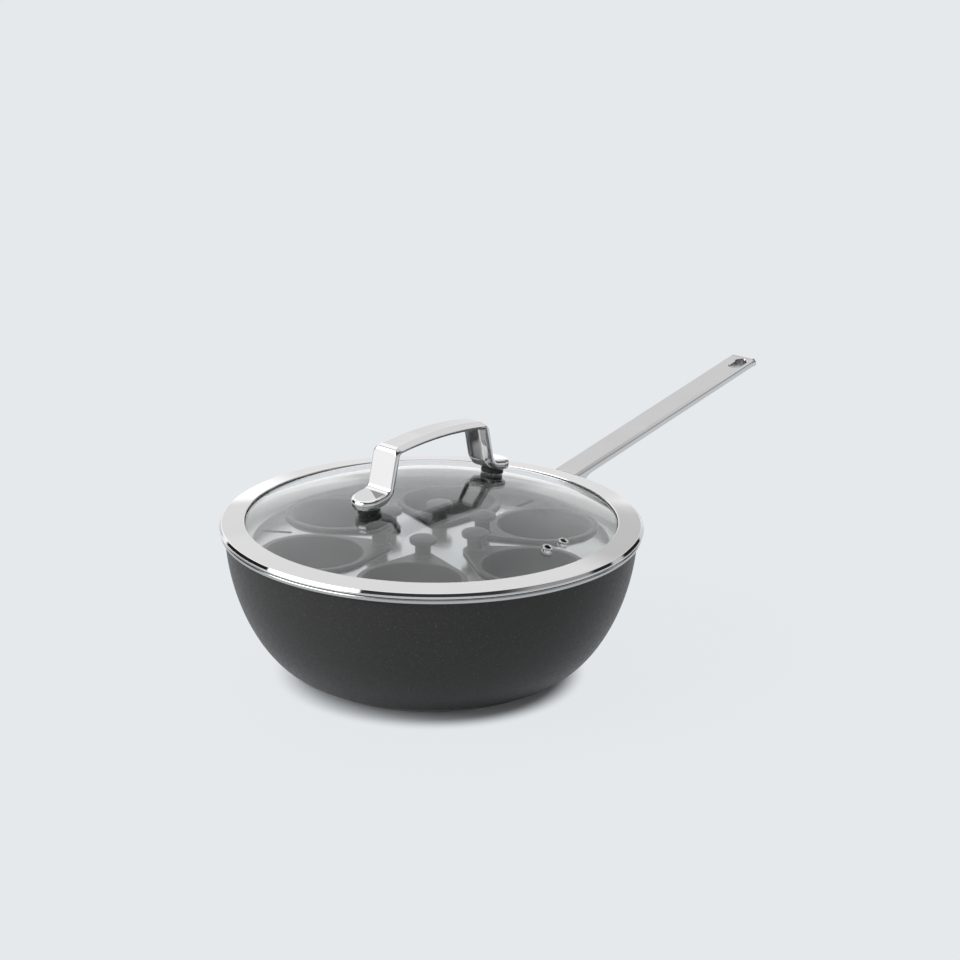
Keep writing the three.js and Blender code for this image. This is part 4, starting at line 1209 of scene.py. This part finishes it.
CAMERA_AZIMUTH = math.radians(-50)
CAMERA_ELEVATION = math.radians(18.354)
CAMERA_DISTANCE = 1.7
CAMERA_TARGET = Vector((19.43, -23.16, 123.09)) * MM
CAMERA_LENS = 101.4965
CAMERA_SENSOR = 36.0
CAMERA_ROLL = math.radians(0.774)
CAMERA_CLIP = 100.0
FLOOR_HALF = 9.0
FLOOR_COLOUR = (0.783, 0.815, 0.84, 1)

# Outside the pan's shadow the floor fades to an even pale grey, between two distances from its centre
SHADOW_CENTRE = (-0.008, -0.006, 0)
SHADOW_EDGE = (0.082, 0.101)
FLOOR_EVENNESS = 0.96


def make_camera():
    level = math.cos(CAMERA_ELEVATION)
    towards = Vector((
        math.sin(CAMERA_AZIMUTH) * level,
        -math.cos(CAMERA_AZIMUTH) * level,
        math.sin(CAMERA_ELEVATION),
    ))
    data = bpy.data.cameras.new("camera")
    data.lens = CAMERA_LENS
    data.sensor_width = CAMERA_SENSOR
    data.sensor_fit = "HORIZONTAL"
    data.clip_end = CAMERA_CLIP
    camera = in_scene("camera", data)
    aim = (-towards).to_track_quat("-Z", "Y").to_matrix().to_4x4()
    roll = Matrix.Rotation(CAMERA_ROLL, 4, "Z")
    camera.matrix_world = Matrix.Translation(CAMERA_TARGET + towards * CAMERA_DISTANCE) @ aim @ roll
    scene.camera = camera


def make_floor():
    signs = ((-1, -1), (1, -1), (1, 1), (-1, 1))
    mesh = bpy.data.meshes.new("floor")
    mesh.from_pydata([(x * FLOOR_HALF, y * FLOOR_HALF, -GAP) for x, y in signs], [], [(0, 1, 2, 3)])
    material, graph = new_material("floor")
    place = graph.add("ShaderNodeTexCoord").outputs["Object"]
    away = graph.add("ShaderNodeVectorMath", {0: place, 1: SHADOW_CENTRE}, operation="DISTANCE")
    even = graph.ranged(away.outputs["Value"], SHADOW_EDGE, (0.0, FLOOR_EVENNESS), smooth=True)
    path = graph.add("ShaderNodeLightPath").outputs
    mirrored = graph.math("MAXIMUM", path["Is Glossy Ray"], path["Is Transmission Ray"])
    seen = graph.math("MAXIMUM", path["Is Camera Ray"], mirrored)
    matt = graph.add("ShaderNodeBsdfDiffuse", {"Color": FLOOR_COLOUR})
    plain = graph.add("ShaderNodeEmission", {"Color": FLOOR_COLOUR, "Strength": 1.0})
    mixed = graph.mix(graph.math("MULTIPLY", seen, even), matt, plain)
    graph.add("ShaderNodeOutputMaterial", {"Surface": mixed})
    mesh.materials.append(material)
    floor = in_scene("floor", mesh)


# Panels of the studio, painted one over the other on the sky: azimuth, elevation, half width, half height,
# softness, brightness. Azimuth is in degrees to the right from straight behind the pan in the photograph.
HALF_TURN = 180.0
ROOM_LEVEL = 0.5
PANELS = (
    (180, 15, 92, 42, 22, 0.05),  # dark room round the camera
    (180, 18, 55, 13, 8, 0.7),  # grey wall over the camera
    (-10, 12, 52, 36, 6, 1.06),  # pale wall behind
    (0, 6, 60, 15, 2, 1.0),  # its even lower part
    (-20, 62, 40, 14, 8, 1.5),  # softbox above
    (-34, 24, 14, 18, 8, 1.45),  # its bright left part
    (48, 6, 16, 16, 8, 0.72),  # its grey right part
    (0, 1, 16, 2, 1.5, 1.4),  # its bright foot
    (-14, 6, 6, 7, 2, 1.5),  # streak in the glass, left
    (14, 6, 6, 7, 2, 1.45),  # streak in the glass, right
    (8, 21, 3, 4, 4, 0.75),  # grey patch in the band
    (45, 51, 26, 12, 14, 1.0),  # soft panel high on the right
    (76, 12, 9, 20, 3, 0.03),  # dark card by the pan handle
    (-106, 34, 28, 12, 5, 5.4),  # window high on the left
    (-106, 2, 26, 14, 5, 1.35),  # pale panel under the window
    (112, 10, 28, 26, 6, 0.42),  # grey panel on the right
    (-63, 14, 17, 16, 4, 0.02),  # dark card on the left
    (45, 9, 9, 14, 4, 0.02),  # dark card on the right
    (0, 90, 180, 12, 6, 1.0),  # ceiling
)


def make_studio():
    world = bpy.data.worlds.new("studio")
    scene.world = world
    world.use_nodes = True
    graph = Graph(world.node_tree)
    direction = graph.add("ShaderNodeTexCoord").outputs["Generated"]
    behind = (-math.sin(CAMERA_AZIMUTH), math.cos(CAMERA_AZIMUTH), 0)
    right = (math.cos(CAMERA_AZIMUTH), math.sin(CAMERA_AZIMUTH), 0)

    def dot(axis):
        node = graph.add("ShaderNodeVectorMath", {0: direction, 1: axis}, operation="DOT_PRODUCT")
        return node.outputs["Value"]
    azimuth = graph.math("DEGREES", graph.math("ARCTAN2", dot(right), dot(behind)))
    elevation = graph.math("DEGREES", graph.math("ARCSINE", dot((0, 0, 1))))

    def within(distance, half, softness):
        away = graph.math("ABSOLUTE", distance)
        return graph.ranged(away, (half, half + softness), (1.0, 0.0), smooth=True)
    level = ROOM_LEVEL
    for turn, height, half_width, half_height, softness, brightness in PANELS:
        sideways = graph.math("WRAP", graph.math("SUBTRACT", azimuth, turn), HALF_TURN, -HALF_TURN)
        upwards = graph.math("SUBTRACT", elevation, height)
        across = within(sideways, half_width, softness)
        mask = graph.math("MULTIPLY", across, within(upwards, half_height, softness))
        level = graph.ranged(mask, (0.0, 1.0), (level, brightness))
    path = graph.add("ShaderNodeLightPath").outputs
    seen = graph.math("MAXIMUM", path["Is Camera Ray"], path["Is Transmission Ray"])
    room = graph.add("ShaderNodeBackground", {"Color": (1, 1, 1, 1), "Strength": level})
    backdrop = graph.add("ShaderNodeBackground", {"Color": FLOOR_COLOUR, "Strength": 1.0})
    graph.add("ShaderNodeOutputWorld", {"Surface": graph.mix(seen, room, backdrop)})


make_camera()
make_floor()
make_studio()
make_bowl()
make_base()
make_pan_handle()
make_rivets()
make_tray()
make_cups()
make_glass()
make_band()
make_lid_handle()
make_lid_fasteners()
make_eyelets()

scene.view_settings.view_transform = "Standard"
